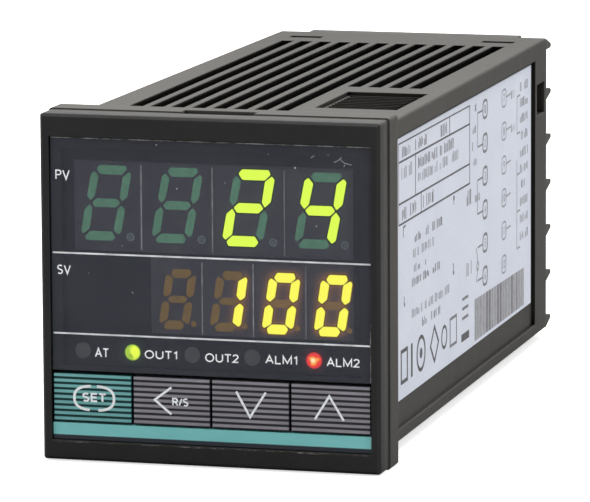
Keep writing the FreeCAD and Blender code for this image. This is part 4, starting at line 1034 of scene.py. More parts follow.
g = Geo()
cx, cz, ra, rb = -16.59, -15.19, 2.83, 1.66
for t0, t1 in ((1.66, 4.56), (-1.44, 1.49)):
    g.stroke(squircle(cx, cz, ra, rb, t0, t1), 0.36, KY - 0.02, KY + 0.0, front)
letters(g, "SET", -18.37, -14.81, -15.74, -14.44, 0.27, KY, front)
g.make("set_legend", KEY_INK, "key_set", slot="key_cap")
g = Geo()
g.stroke([(-5.58, -13.2), (-7.96, -15.0), (-5.60, -16.9)], 0.31, KY - 0.02, KY, front)
letters(g, "R/S", -5.51, -3.12, -15.75, -14.59, 0.21, KY, front)
g.make("shift_legend", KEY_INK, "key_shift", slot="key_cap")
g = Geo()
g.stroke([(3.59, -13.33), (5.52, -16.78), (7.74, -13.3)], 0.31, KY - 0.02, KY, front)
g.make("down_legend", KEY_INK, "key_down", slot="key_cap")
g = Geo()
g.stroke([(14.61, -16.66), (16.65, -13.41), (18.66, -16.68)], 0.31, KY - 0.02, KY, front)
g.make("up_legend", KEY_INK, "key_up", slot="key_cap")

# ---------------------------------------------------------------- label print
PRINT = ink("label_print_dark", (0.115, 0.115, 0.135), vary=0.3, size_mm=1.2)
PRINT_SOFT = ink("label_print_soft", (0.235, 0.235, 0.265), vary=0.3, size_mm=1.0)
PRINT_PALE = ink("label_print_pale", (0.36, 0.37, 0.41), vary=0.25, size_mm=1.0)
UP = 0.02
L = Geo()


def line(u0, v0, u1, v1, w=0.22, idx=0):
    L.stroke([(u0, v0), (u1, v1)], w, UP, -0.02, side_right, idx)


def words(u0, u1, v_mid, height, groups, idx=1, seed=0):
    """A line of dummy copy: close upright ticks of uneven height and weight in word-like groups."""
    r = random.Random(977 + seed)
    total = sum(groups) + 0.8 * (len(groups) - 1)
    step = (u1 - u0) / total
    u = u0
    for gcount in groups:
        for k in range(gcount):
            for part in ((0.06, 0.40), (0.52, 0.90)):
                if r.random() < 0.16:
                    continue
                w = step * r.uniform(0.16, 0.30)
                h = height * r.choice((1.0, 1.0, 0.92, 0.80, 0.62))
                low = v_mid - height / 2 + (height - h) * r.choice((0.0, 0.0, 0.5))
                a = u + step * r.uniform(part[0], part[1] - 0.18)
                L.prism([(a, low), (a + w, low), (a + w, low + h), (a, low + h)], side_right, UP, -0.02, idx)
            u += step
        u += 0.8 * step


# ruled table
TU0, TU1 = 8.6, 51.17
for v0, v1, w in ((18.62, 18.46, 0.20), (16.06, 15.82, 0.26), (10.28, 10.02, 0.26), (7.40, 7.18, 0.26)):
    line(TU0, v0, TU1, v1, w)
line(TU0 + 0.08, 18.62, TU0 + 0.08, 7.40, 0.16)
line(TU1, 18.5, TU1, 7.1, 0.34, 1)
line(38.77, 18.45, 38.77, 15.85, 0.26)
line(18.40, 16.0, 18.35, 10.2, 0.24)
line(21.68, 10.1, 21.66, 7.3, 0.24)
words(10.5, 15.4, 17.25, 1.45, [5], 1, 1)
words(18.2, 25.0, 17.25, 1.5, [6], 1, 2)
words(33.2, 37.2, 17.15, 1.7, [3], 1, 3)
words(10.2, 16.4, 14.4, 1.8, [5], 2, 4)
words(19.7, 41.2, 14.5, 1.55, [8, 1, 4], 1, 5)
words(19.7, 44.2, 12.5, 1.5, [7, 7], 2, 6)
words(10.5, 18.9, 8.7, 1.75, [2, 4], 1, 7)
words(22.6, 30.4, 8.7, 1.75, [6], 1, 8)
# small corner marks of a second table
line(11.15, 6.7, 12.5, 6.9, 0.26)
line(11.35, 6.8, 11.3, 5.4, 0.2)
L.cyl((41.3, 6.45), 0.42, UP, -0.02, side_right, 12)
line(41.3, 6.3, 41.3, 5.5, 0.3, 2)
line(11.66, -2.9, 11.66, -3.9, 0.22)
L.cyl((11.9, -4.1), 0.26, UP, -0.02, side_right, 10)
L.cyl((41.0, -4.25), 0.34, UP, -0.02, side_right, 12)
line(41.0, -2.9, 41.05, -4.0, 0.34, 1)
words(17.7, 34.6, 4.35, 1.25, [2, 6], 1, 11)
words(16.8, 29.0, 2.25, 1.3, [2, 4], 2, 12)
words(17.2, 24.6, 0.15, 1.1, [3, 1], 1, 13)
words(15.4, 32.6, -1.75, 1.2, [4, 3, 3], 1, 14)
words(16.0, 38.6, -6.05, 1.25, [4, 7, 2], 2, 15)
words(20.4, 33.0, -8.2, 1.2, [3, 5], 1, 16)
words(48.9, 52.4, 5.2, 2.2, [2], 2, 17)
words(49.0, 52.4, -5.2, 2.0, [2], 2, 18)

# plain geometric stamps: frame, bar, ring and dot, lozenge, small frame, stacked bars
def frame_mark(u0, u1, v0, v1, w, idx=0):
    L.stroke([(u0, v0), (u1, v0), (u1, v1), (u0, v1), (u0, v0 - w / 2)], w, UP, -0.02, side_right, idx)


frame_mark(9.9, 13.4, -14.7, -10.4, 0.55)
line(16.0, -10.2, 16.0, -14.9, 0.9)
L.ring((21.4, -12.5), 2.05, 2.6, UP, -0.02, side_right, 36)
L.cyl((21.4, -12.5), 0.75, UP, -0.02, side_right, 20)
L.stroke([(29.4, -15.1), (31.8, -12.6), (29.4, -10.1), (27.0, -12.6), (29.5, -15.2)], 0.5, UP, -0.02, side_right, 0)
L.ring((35.3, -12.6), 1.3, 1.75, UP, -0.02, side_right, 26)
frame_mark(38.9, 42.8, -14.6, -10.7, 0.42, 1)
line(45.9, -14.7, 50.7, -14.7, 1.1)
line(46.4, -11.9, 50.2, -11.9, 0.42, 1)
line(46.4, -10.5, 50.2, -10.5, 0.42, 1)
line(46.4, -9.1, 50.2, -9.1, 0.42, 1)

# block of upright stripes on a pale ground
L.prism([(54.3, -16.5), (87.0, -16.5), (87.0, -10.8), (54.3, -10.35)], side_right, UP * 0.5, -0.02, 3)
r = random.Random(41)
u = 54.3
while u < 86.4:
    w = r.choice((0.7, 0.9, 1.2))
    top = -10.35 - (u - 54.3) * 0.014
    L.prism([(u, -16.5), (min(u + w, 87.0), -16.5), (min(u + w, 87.0), top), (u, top)], side_right, UP, -0.02, r.choice((1, 2, 2, 2)))
    u += w + r.choice((0.6, 0.8, 1.0))

# terminal diagram: two columns of ovals with plain numbers, and wiring strokes
OVAL_A = (16.72, 11.75, 6.88, 1.92, -3.0, -7.9)
OVAL_B = (16.72, 11.78, 6.72, 1.82, -3.1, -8.15)


def oval(u, v, w=1.42, h=1.28, idx=1):
    pts = squircle(u, v, w, h, 0, 2 * math.pi, 32, 3.2)
    L.stroke(pts, 0.40 if idx == 1 else 0.28, UP, -0.02, side_right, idx)


for k, v in enumerate(OVAL_A):
    oval(61.0, v)
    text(L, str(k + 1), 60.6, 61.4, v - 0.62, v + 0.62, UP, side_right, 2, bold=0.01)
for k, v in enumerate(OVAL_B):
    oval(73.4, v, 1.42, 1.28, 2)
    s = str(k + 7)
    wd = 0.55 if len(s) == 1 else 1.0
    text(L, s, 73.4 - wd * 0.8, 73.4 + wd * 0.8, v - 0.62, v + 0.62, UP, side_right, 2, bold=0.01)
# strokes left of the first column
for v in OVAL_A:
    line(56.2, v, 59.4, v, 0.26, 1)
line(56.2, 16.7, 56.2, 11.7, 0.26, 2)
line(54.4, 18.2, 55.4, 17.2, 0.24, 1)
line(54.4, 17.2, 55.4, 18.2, 0.24, 1)
words(53.0, 55.2, 14.6, 1.1, [2], 2, 21)
line(52.9, 12.9, 52.9, 11.6, 0.26, 1)
words(53.4, 55.6, 9.8, 1.0, [2], 2, 22)
line(56.0, 6.9, 56.0, 1.9, 0.26, 2)
words(54.4, 57.6, 4.4, 1.1, [2], 2, 23)
line(55.4, -3.0, 56.6, -5.6, 0.26, 2)
line(55.4, -8.0, 56.4, -5.9, 0.26, 2)
L.ring((56.2, -5.7), 0.5, 0.8, UP, -0.02, side_right, 18, 2)
# marks right of the second column
for k, v in enumerate(OVAL_B[:5]):
    line(75.0, v, 77.8, v + 0.1, 0.26, 2)
words(77.9, 80.4, 16.6, 1.3, [2], 2, 31)
words(77.9, 80.4, 11.6, 1.3, [2], 2, 32)
line(82.1, 15.8, 82.1, 10.2, 0.26, 2)
line(82.1, 6.2, 82.1, -7.2, 0.28, 2)
for v in (17.0, 14.6, 12.2, 9.6, 7.0, 4.6, 2.2, -0.4, -3.0, -5.6):
    words(84.0, 89.6, v, 1.35, [4], 2, int(40 + v))
for v in (15.8, 10.2, 4.0, -1.6, -7.2):
    line(82.1, v, 84.2, v, 0.28, 2)
PRINT_HAZE = ink("label_print_haze", (0.44, 0.45, 0.49), vary=0.2, size_mm=0.8)
L.make("label_print", [PRINT, PRINT_SOFT, PRINT_PALE, PRINT_HAZE], "case", slot="label_film")

# ---------------------------------------------------------------- inside: finishes
def board_material(name, axis):
    """Green solder mask on the faces, bare laminate on the sawn edges, a faint glass weave below."""
    m = Mat(name, (0.012, 0.085, 0.035), 0.34, 0.0, 0.5)
    g = m.node("ShaderNodeNewGeometry")
    s = m.node("ShaderNodeSeparateXYZ")
    m.link(g.outputs["Normal"], s.inputs[0])
    face = m.ramp(m.math("ABSOLUTE", s.outputs[axis]), 0.7, 0.8)
    n = m.noise(5.0, 4, 0.6, seed=1)
    weave = m.noise(0.30, 2, 0.5, stretch=(3, 1, 1), seed=4)
    mask = m.mix(m.ramp(n, 0.3, 0.7), (0.010, 0.070, 0.030), (0.016, 0.100, 0.042))
    mask = m.mix(m.ramp(weave, 0.45, 0.75, 0.0, 0.35), mask, (0.030, 0.135, 0.060))
    edge = m.mix(m.ramp(weave, 0.3, 0.7), (0.30, 0.27, 0.12), (0.44, 0.40, 0.20))
    m.colour(m.mix(face, edge, mask))
    m.link(m.ramp(face, 0, 1, 0.75, 0.32), m.b.inputs["Roughness"])
    m.link(m.bump(weave, 0.15, 0.02), m.b.inputs["Normal"])
    return m


MASK_X = board_material("board_mask_side", 0)
MASK_Y = board_material("board_mask_front", 1)
TRACE = ink("board_track", (0.026, 0.155, 0.066), rough=0.36, vary=0.12, size_mm=1.5, spec=0.5)
TINNED = metal("tinned_joint", (0.62, 0.62, 0.60), rough=0.30, vary=0.15, size_mm=0.5, bevel=0.05)
GOLD = metal("contact_gilt", (0.80, 0.56, 0.20), rough=0.28, vary=0.12, streak=(1, 6, 1), size_mm=0.3, bevel=0)
SILK = ink("board_legend", (0.66, 0.68, 0.64), vary=0.2, size_mm=0.5)
CHIP = plastic("chip_epoxy", (0.020, 0.020, 0.021), rough=0.55, grain_mm=0.18, grain=0.35, bevel=0.12, edge=0.4, edge_highlight_tint=(0.06, 0.06, 0.06), seed=11)
SLEEVE = plastic("capacitor_sleeve", (0.014, 0.020, 0.050), rough=0.30, spec=0.5, vary=0.10, grain_mm=0.8, grain=0.12, bevel=0.5, seed=12)
SLEEVE_BLACK = plastic("capacitor_sleeve_black", (0.022, 0.021, 0.020), rough=0.32, spec=0.5, grain_mm=0.8, grain=0.12, bevel=0.3, seed=13)
CAN_TOP = metal("capacitor_can", (0.70, 0.71, 0.72), rough=0.34, vary=0.10, streak=(1, 4, 1), size_mm=0.4, bevel=0)
STRIPE = ink("capacitor_stripe", (0.60, 0.62, 0.66), rough=0.35, vary=0.1)
FERRITE = plastic("ferrite_core", (0.060, 0.058, 0.060), rough=0.62, spec=0.4, vary=0.2, grain_mm=0.3, grain=0.5, bevel=0.18, edge=0.5, edge_highlight_tint=(0.12, 0.12, 0.125), seed=14)
TAPE = Mat("winding_tape", (0.72, 0.55, 0.08), 0.25, 0.0, 0.5)
_n = TAPE.noise(3.5, 4, 0.6, stretch=(1, 0.35, 1), seed=2)
_y = TAPE.axis(1)
_lap = TAPE.math("ABSOLUTE", TAPE.math("SUBTRACT", TAPE.math("FRACT", TAPE.math("DIVIDE", _y, 3.7 * MM)), 0.5))
TAPE.colour(TAPE.mix(TAPE.ramp(_lap, 0.455, 0.485), TAPE.mix(TAPE.ramp(_n, 0.3, 0.7), (0.62, 0.45, 0.055), (0.80, 0.63, 0.10)), (0.40, 0.26, 0.03)))
TAPE.link(TAPE.bump(TAPE.math("ADD", _n, TAPE.ramp(_lap, 0.44, 0.49)), 0.35, 0.06, TAPE.rounded_normal(0.6)), TAPE.b.inputs["Normal"])
BOBBIN = plastic("bobbin_moulding", (0.030, 0.028, 0.027), rough=0.48, grain_mm=0.3, grain=0.25, bevel=0.2, edge=0.4, seed=15)
RELAY = plastic("relay_cover", (0.018, 0.070, 0.260), rough=0.36, spec=0.5, vary=0.10, grain_mm=0.25, grain=0.15, bevel=0.35, edge=0.35, edge_highlight_tint=(0.05, 0.15, 0.42), seed=16)
RELAY_PRINT = ink("relay_print", (0.62, 0.66, 0.72), vary=0.15, size_mm=0.5)
VARISTOR = plastic("varistor_coat", (0.020, 0.110, 0.420), rough=0.30, spec=0.5, vary=0.12, grain_mm=1.2, grain=0.4, bevel=0.6, seed=17)
FILM_BOX = plastic("film_capacitor_box", (0.62, 0.45, 0.065), rough=0.38, vary=0.08, grain_mm=0.3, grain=0.15, bevel=0.3, edge=0.3, edge_highlight_tint=(0.80, 0.66, 0.16), seed=18)
RESISTOR = plastic("resistor_coat", (0.200, 0.300, 0.235), rough=0.6, vary=0.12, grain_mm=0.35, grain=0.5, bevel=0.4, seed=19)
CRYSTAL = metal("crystal_can", (0.66, 0.66, 0.65), rough=0.24, vary=0.08, streak=(1, 5, 1), size_mm=0.5, bevel=0.35)
SPACER = plastic("spacer_moulding", (0.52, 0.51, 0.47), rough=0.5, vary=0.05, grain_mm=0.35, grain=0.2, bevel=0.2, seed=20)
PAPER = Mat("insulation_paper", (0.30, 0.045, 0.030), 0.62, 0.0, 0.35)
_n = PAPER.noise(0.7, 5, 0.7, stretch=(1, 3, 1), seed=5)
PAPER.colour(PAPER.mix(PAPER.ramp(_n, 0.3, 0.7), (0.24, 0.034, 0.024), (0.36, 0.058, 0.038)))
PAPER.link(PAPER.bump(_n, 0.35, 0.03), PAPER.b.inputs["Normal"])
HEADER = plastic("header_moulding", (0.55, 0.53, 0.46), rough=0.5, vary=0.06, grain_mm=0.3, grain=0.2, bevel=0.15, seed=21)
SWITCH = plastic("switch_body", (0.026, 0.026, 0.027), rough=0.45, grain_mm=0.25, grain=0.2, bevel=0.12, seed=22)
SOCKET = plastic("socket_moulding", (0.050, 0.048, 0.045), rough=0.5, grain_mm=0.3, grain=0.25, bevel=0.15, edge=0.4, seed=23)
ZINC = metal("zinc_screw", (0.60, 0.60, 0.585), rough=0.30, vary=0.16, size_mm=0.7, bevel=0.12, seed=1)
CLAMP = metal("zinc_clamp", (0.56, 0.56, 0.54), rough=0.36, vary=0.16, streak=(4, 1, 1), size_mm=0.5, bevel=0.10, seed=2)
BRASS = metal("brass_contact", (0.72, 0.52, 0.23), rough=0.32, vary=0.16, streak=(1, 1, 4), size_mm=0.5, bevel=0.06, seed=3)

assign(MASK_X, "control_board", "power_board")
assign(MASK_Y, "display_board")
assign(HEADER, "display_header_left", "display_header_right")
assign(SWITCH, "tact_switches")
assign(SPACER, "rear_spacer")
assign(PAPER, "insulation_sheet")
assign(SLEEVE, "input_capacitor", "filter_capacitors")
assign(SLEEVE_BLACK, "signal_capacitors")
assign(FERRITE, "transformer_core")
assign(TAPE, "transformer_winding")
assign(BOBBIN, "transformer_bobbin")
assign(RELAY, "output_relay", "alarm_relay_one", "alarm_relay_two")
assign(VARISTOR, "varistor")
assign(FILM_BOX, "film_capacitor")
assign(RESISTOR, "fuse_resistor")
assign(CHIP, "bridge_rectifier", "microcontroller", "memory_chip", "optocouplers", "amplifier_chip")
assign(CRYSTAL, "crystal")
assign(SOCKET, "contact_socket_right", "contact_socket_left")
assign(ZINC, "terminal_screws")
assign(CLAMP, "clamp_washers")
assign(BRASS, "terminal_plates")


def mm(node):
    lo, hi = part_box(node)
    return [c / MM for c in lo], [c / MM for c in hi]


CB_LO, CB_HI = mm("control_board")
PB_LO, PB_HI = mm("power_board")


def on_plus_x(x):
    """Work plane on a face that looks to +X: u is Y, v is Z, d stands proud."""
    return lambda u, v, d: (x + d, u, v)


def on_minus_x(x):
    """Work plane on a face that looks to -X: u is -Y, v is Z, d stands proud."""
    return lambda u, v, d: (x - d, -u, v)


class Face:
    """One side of a board, addressed by Y and Z whichever way it looks."""

    def __init__(self, x, sign):
        self.place = on_plus_x(x) if sign > 0 else on_minus_x(x)
        self.s = sign

    def pt(self, y, z):
        return (y * self.s, z)

    def rect(self, geo, y0, y1, z0, z1, top, bottom=-0.02, idx=0):
        a, b = sorted((y0 * self.s, y1 * self.s))
        geo.prism([(a, z0), (b, z0), (b, z1), (a, z1)], self.place, top, bottom, idx)

    def disc(self, geo, y, z, r, top, bottom=-0.02, n=20, idx=0):
        geo.cyl(self.pt(y, z), r, top, bottom, self.place, n, idx)

    def line(self, geo, pts, w, top, bottom=-0.02, idx=0):
        geo.stroke([self.pt(*p) for p in pts], w, top, bottom, self.place, idx)

    def joint(self, geo, y, z, r=0.85, h=0.55, idx=0):
        """A solder joint: concave cone round a clipped lead."""
        prof = ((r, -0.01), (r, 0.03), (r * 0.62, 0.16), (r * 0.40, 0.36), (r * 0.30, h), (0.0, h + 0.06))
        n, cu, cv = 14, y * self.s, z
        verts, faces = [], []
        for rr, d in prof[:-1]:
            for k in range(n):
                a = 2 * math.pi * k / n
                verts.append(self.place(cu + rr * math.cos(a), cv + rr * math.sin(a), d))
        verts.append(self.place(cu, cv, prof[-1][1]))
        for ring in range(len(prof) - 2):
            for k in range(n):
                a, b = ring * n + k, ring * n + (k + 1) % n
                faces.append((a, b, b + n, a + n))
        last, tip = (len(prof) - 2) * n, len(verts) - 1
        for k in range(n):
            faces.append((last + k, last + (k + 1) % n, tip))
        faces.append(tuple(range(n - 1, -1, -1)))
        geo.add(verts, faces, idx)


C_IN, C_OUT = Face(CB_HI[0], 1), Face(CB_LO[0], -1)
P_IN, P_OUT = Face(PB_LO[0], -1), Face(PB_HI[0], 1)

# lead positions of what stands on each board, (y, z)
P_PINS = []
for y in (39.0, 42.6, 46.2, 49.8, 53.4):
    P_PINS += [(y, -14.2), (y, 6.2)]
for z in (-12.0, -0.5, 11.0):
    P_PINS += [(60.8, z), (63.4, z - 3.2), (63.4, z + 3.2), (74.6, z - 3.2), (74.6, z + 3.2)]
for y in (28.5, 38.5, 48.5):
    P_PINS += [(y - 1.75, 13.2), (y + 1.75, 13.2)]
P_PINS += [(23.0, -9.5), (28.0, -9.5), (10.5, -13.6), (10.5, -4.4), (17.3, 8.1), (17.3, 13.1)]
P_PINS += [(8.6, 1.6), (8.6, 7.4), (11.4, 1.6), (11.4, 7.4)]
C_PINS = [(13.0, 13.0), (15.0, 13.0), (63.0, 12.0), (65.0, 12.0), (63.0, -12.0), (65.0, -12.0), (40.6, 10.6), (46.4, 10.6)]
for z in (-11.7, -1.7, 8.3):
    C_PINS += [(51.6, z - 1.3), (51.6, z + 1.3), (58.8, z - 1.3), (58.8, z + 1.3)]
for face_pins, y in ((P_PINS, 4.2), (C_PINS, 4.2)):
    face_pins += [(y, z) for z in (-10.2, -7.6, -5.1, -2.5, 0.0, 2.5, 5.1, 7.6, 10.2)]
FINGERS = [-17.0 + 2.0 * k for k in range(18)]


def routed(seed, pins, fingers_y):
    """Tracks from pins and edge fingers on a 45-degree grid, as polylines in (y, z)."""
    r = random.Random(seed)
    lines = []
    pool = [p for p in pins if p[0] > 5]
    for i, z in enumerate(fingers_y):
        y1 = 78.0 - (i % 6) * 1.3
        y2 = y1 - r.choice((4.0, 7.0, 11.0, 16.0))
        shift = r.choice((-3.0, -1.5, 0.0, 1.5, 3.0))
        z2 = max(-17.2, min(17.2, z + shift))
        d = abs(z2 - z)
        lines.append([(84.2, z), (y1, z), (y1 - d, z2), (max(y2 - d, 6.0), z2)])
    for i in range(len(pool)):
        a = pool[i]
        b = pool[r.randrange(len(pool))]
        if a == b or abs(a[0] - b[0]) > 30:
            continue
        dy, dz = b[0] - a[0], b[1] - a[1]
        k = min(abs(dy), abs(dz))
        sy, sz = (1 if dy > 0 else -1), (1 if dz > 0 else -1)
        if abs(dy) > abs(dz):
            run = (abs(dy) - k) * r.uniform(0.3, 0.7) * sy
            pts = [a, (a[0] + run, a[1]), (a[0] + run + k * sy, b[1]), b]
        else:
            run = (abs(dz) - k) * r.uniform(0.3, 0.7) * sz
            pts = [a, (a[0], a[1] + run), (b[0], a[1] + run + k * sz), b]
        clean = [pts[0]]
        for p in pts[1:]:
            if math.hypot(p[0] - clean[-1][0], p[1] - clean[-1][1]) > 0.3:
                clean.append(p)
        if len(clean) > 1:
            lines.append(clean)
    return lines


for tag, inner, outer, pins, seed in (("power", P_IN, P_OUT, P_PINS, 71), ("control", C_IN, C_OUT, C_PINS, 73)):
    tracks, pads = Geo(), Geo()
    for face, extra in ((outer, 0), (inner, 9)):
        width = 0.75 if tag == "power" else 0.34
        for i, pts in enumerate(routed(seed + extra, pins, FINGERS)):
            face.line(tracks, pts, width if i >= len(FINGERS) else 0.42, 0.018)
        r = random.Random(seed * 3 + extra)
        for _ in range(34):
            y, z = r.uniform(8, 80), r.uniform(-17.3, 17.3)
            face.disc(tracks, y, z, 0.42, 0.022, n=12)
    if tag == "power":
        # broad mains copper pours
        P_OUT.rect(tracks, 56.5, 79.0, 15.2, 17.6, 0.016)
        P_OUT.rect(tracks, 20.0, 35.0, -17.4, -14.6, 0.016)
        P_OUT.rect(tracks, 7.0, 18.5, -2.6, 0.2, 0.016)
        P_OUT.rect(tracks, 35.0, 56.0, -3.6, -2.2, 0.016)
    tracks.make(tag + "_board_tracks", TRACE, "chassis", slot="circuit_board")
    for y, z in pins:
        outer.disc(pads, y, z, 1.05 if tag == "power" else 0.85, 0.024, n=16)
        outer.joint(pads, y, z, 0.88 if tag == "power" else 0.66)
    pads.make(tag + "_board_joints", TINNED, "chassis", smooth=False, slot="circuit_board")
    fingers = Geo()
    for z in FINGERS:
        for face in (inner, outer):
            face.rect(fingers, 84.2, 89.6, z - 0.62, z + 0.62, 0.03)
    fingers.make(tag + "_board_fingers", GOLD, "chassis", slot="brass_contact")

# printed outlines round the parts, and plain tick marks
silk = Geo()


def outline(face, y0, y1, z0, z1, w=0.16):
    face.line(silk, [(y0, z0), (y1, z0), (y1, z1), (y0, z1), (y0, z0)], w, 0.02)


outline(P_IN, 36.4, 55.6, -16.2, 8.2)
for z in (-12.0, -0.5, 11.0):
    outline(P_IN, 58.4, 79.6, z - 5.35, z + 5.35)
outline(P_IN, 7.0, 14.0, -16.0, -2.0)
for y in (28.5, 38.5, 48.5):
    ring = [(y + 4.35 * math.cos(2 * math.pi * k / 36), 13.2 + 4.35 * math.sin(2 * math.pi * k / 36)) for k in range(37)]
    P_IN.line(silk, ring, 0.16, 0.02)
ring = [(25.5 + 6.4 * math.cos(2 * math.pi * k / 48), -9.5 + 6.4 * math.sin(2 * math.pi * k / 48)) for k in range(49)]
P_IN.line(silk, ring, 0.16, 0.02)
outline(C_IN, 17.6, 36.4, -9.4, 9.4)
outline(C_IN, 37.4, 49.6, 8.0, 13.4)
for z in (-14.0, -4.0, 6.0):
    outline(C_IN, 50.2, 60.2, z - 0.5, z + 5.1)
C_IN.disc(silk, 17.0, -9.9, 0.4, 0.02, n=14)
for y, z in ((22, 15.6), (30, -15.8), (44, -8.2), (70, 9.6), (74, -9.8)):
    C_IN.rect(silk, y, y + 3.2, z, z + 0.18, 0.02)
for y, z in ((30, 16.9), (12, 16.6), (20, -17.4), (56.8, -8.0)):
    P_OUT.rect(silk, y, y + 2.6, z, z + 0.18, 0.02)
silk.make("board_legend_print", SILK, "chassis", slot="circuit_board")

# ---------------------------------------------------------------- inside: leads
leads = Geo()


def gull(face, y, z, along, out, board_top=0.0, mid=1.0, w=0.32, foot=0.75):
    """One bent lead that leaves the package at (y, z) in the board's plane, heading out."""
    dy, dz = out
    ay, az = along

    def slab(a, b, d0, d1):
        ys = sorted((y + dy * a, y + dy * b))
        zs = sorted((z + dz * a, z + dz * b))
        ys = [ys[0] - abs(ay) * w / 2, ys[1] + abs(ay) * w / 2]
        zs = [zs[0] - abs(az) * w / 2, zs[1] + abs(az) * w / 2]
        face.rect(leads, ys[0], ys[1], zs[0], zs[1], d1, d0)

    slab(-0.1, 0.42, mid - 0.08, mid + 0.08)
    slab(0.32, 0.50, 0.02, mid + 0.08)
    slab(0.32, 0.42 + foot, 0.0, 0.16)


lo, hi = mm("microcontroller")
for k in range(16):
    t = (k - 7.5) * 0.8
    ym = (lo[1] + hi[1]) / 2 + t
    gull(C_IN, ym, hi[2], (1, 0), (0, 1))
    gull(C_IN, ym, lo[2], (1, 0), (0, -1))
    gull(C_IN, lo[1], t, (0, 1), (-1, 0))
    gull(C_IN, hi[1], t, (0, 1), (1, 0))
lo, hi = mm("memory_chip")
for k in range(4):
    ym = (lo[1] + hi[1]) / 2 + (k - 1.5) * 1.27
    gull(C_IN, ym, hi[2], (1, 0), (0, 1), mid=0.8, w=0.42)
    gull(C_IN, ym, lo[2], (1, 0), (0, -1), mid=0.8, w=0.42)
lo, hi = mm("amplifier_chip")
for k in range(7):
    zm = (k - 3) * 1.27
    gull(C_IN, lo[1], zm, (0, 1), (-1, 0), mid=0.85, w=0.42)
    gull(C_IN, hi[1], zm, (0, 1), (1, 0), mid=0.85, w=0.42)
for z in (-14.0, -4.0, 6.0):
    for dz in (1.0, 3.6):
        gull(C_IN, 52.0, z + dz, (0, 1), (-1, 0), mid=1.6, w=0.9, foot=0.7)
        gull(C_IN, 58.4, z + dz, (0, 1), (1, 0), mid=1.6, w=0.9, foot=0.7)
leads.make("chip_leads", TINNED, "chassis", slot="circuit_board")

# package marks: pin-one dots and moulded dimples
marks = Geo()
C_MC = Face(mm("microcontroller")[1][0], 1)
C_MC.disc(marks, 21.6, -5.4, 0.55, 0.012, n=20)
C_MC.disc(marks, 32.4, 5.4, 0.9, 0.008, n=24)
Face(mm("memory_chip")[1][0], 1).disc(marks, 41.8, -2.2, 0.32, 0.012, n=14)
Face(mm("amplifier_chip")[1][0], 1).disc(marks, 68.8, -3.7, 0.32, 0.012, n=14)
for z in (-14.0, -4.0, 6.0):
    Face(mm("optocouplers")[1][0], 1).disc(marks, 53.0, z + 0.9, 0.36, 0.012, n=14)
marks.make("chip_marks", ink("chip_mark", (0.075, 0.075, 0.078), rough=0.35, vary=0.1), "chassis", slot="chip_epoxy")

# chip resistors and capacitors soldered flat on the boards
CHIP_CAP = ink("chip_capacitor", (0.33, 0.24, 0.14), rough=0.45, vary=0.15)
CHIP_RES = ink("chip_resistor", (0.022, 0.022, 0.024), rough=0.35, vary=0.2)
small, tins = Geo(), Geo()
BUSY_C = [(17.2, 36.8, -9.8, 9.8), (37.0, 50.0, 7.6, 13.8), (39.4, 47.6, -5.2, 4.2), (49.6, 60.8, -15.0, 12.0), (66.2, 75.0, -5.6, 5.6), (10.8, 17.2, 9.8, 16.2), (60.8, 67.2, 8.8, 15.2), (60.8, 67.2, -15.2, -8.8), (2, 8.5, -13, 13), (79.5, 90, -20, 20)]
BUSY_P = [(36.0, 56.0, -16.6, 8.6), (58.0, 80.0, -18, 18), (6.6, 14.4, -16.4, -1.4), (18.6, 32.4, -16.4, -2.6), (23.9, 53.2, 8.4, 18), (6.6, 13, 0, 9), (15, 20, 5, 16), (2, 8.5, -13, 13), (79.5, 90, -20, 20), (14, 22, -6, 2)]
r = random.Random(505)
for face, busy, count in ((C_IN, BUSY_C, 62), (P_IN, BUSY_P, 16)):
    done, tries = [], 0
    while len(done) < count and tries < 6000:
        tries += 1
        y, z = round(r.uniform(9.5, 78.5) / 1.3) * 1.3, round(r.uniform(-16.6, 16.6) / 1.3) * 1.3
        turn = r.random() < 0.5
        hy, hz = (1.0, 0.62) if turn else (0.62, 1.0)
        if any(a - hy < y < b + hy and c - hz < z < d + hz for a, b, c, d in busy):
            continue
        if any(abs(y - p) < 2.3 and abs(z - q) < 2.3 for p, q in done):
            continue
        done.append((y, z))
        kind, tall = (0, 0.75) if r.random() < 0.4 else (1, 0.5)
        e = 0.24
        if turn:
            face.rect(small, y - hy + e, y + hy - e, z - hz, z + hz, tall, idx=kind)
            for s in (-1, 1):
                face.rect(tins, y + s * (hy - e), y + s * (hy + 0.22), z - hz, z + hz, tall * (1.0 if s else 1), idx=0)
        else:
            face.rect(small, y - hy, y + hy, z - hz + e, z + hz - e, tall, idx=kind)
            for s in (-1, 1):
                a, b = sorted((z + s * (hz - e), z + s * (hz + 0.22)))
                face.rect(tins, y - hy, y + hy, a, b, tall, idx=0)
small.make("flat_chip_bodies", [CHIP_CAP, CHIP_RES], "chassis", slot="circuit_board")
tins.make("flat_chip_ends", TINNED, "chassis", slot="circuit_board")

# ---------------------------------------------------------------- inside: capacitors, windings, relays
tops, vents, bands = Geo(), Geo(), Geo()


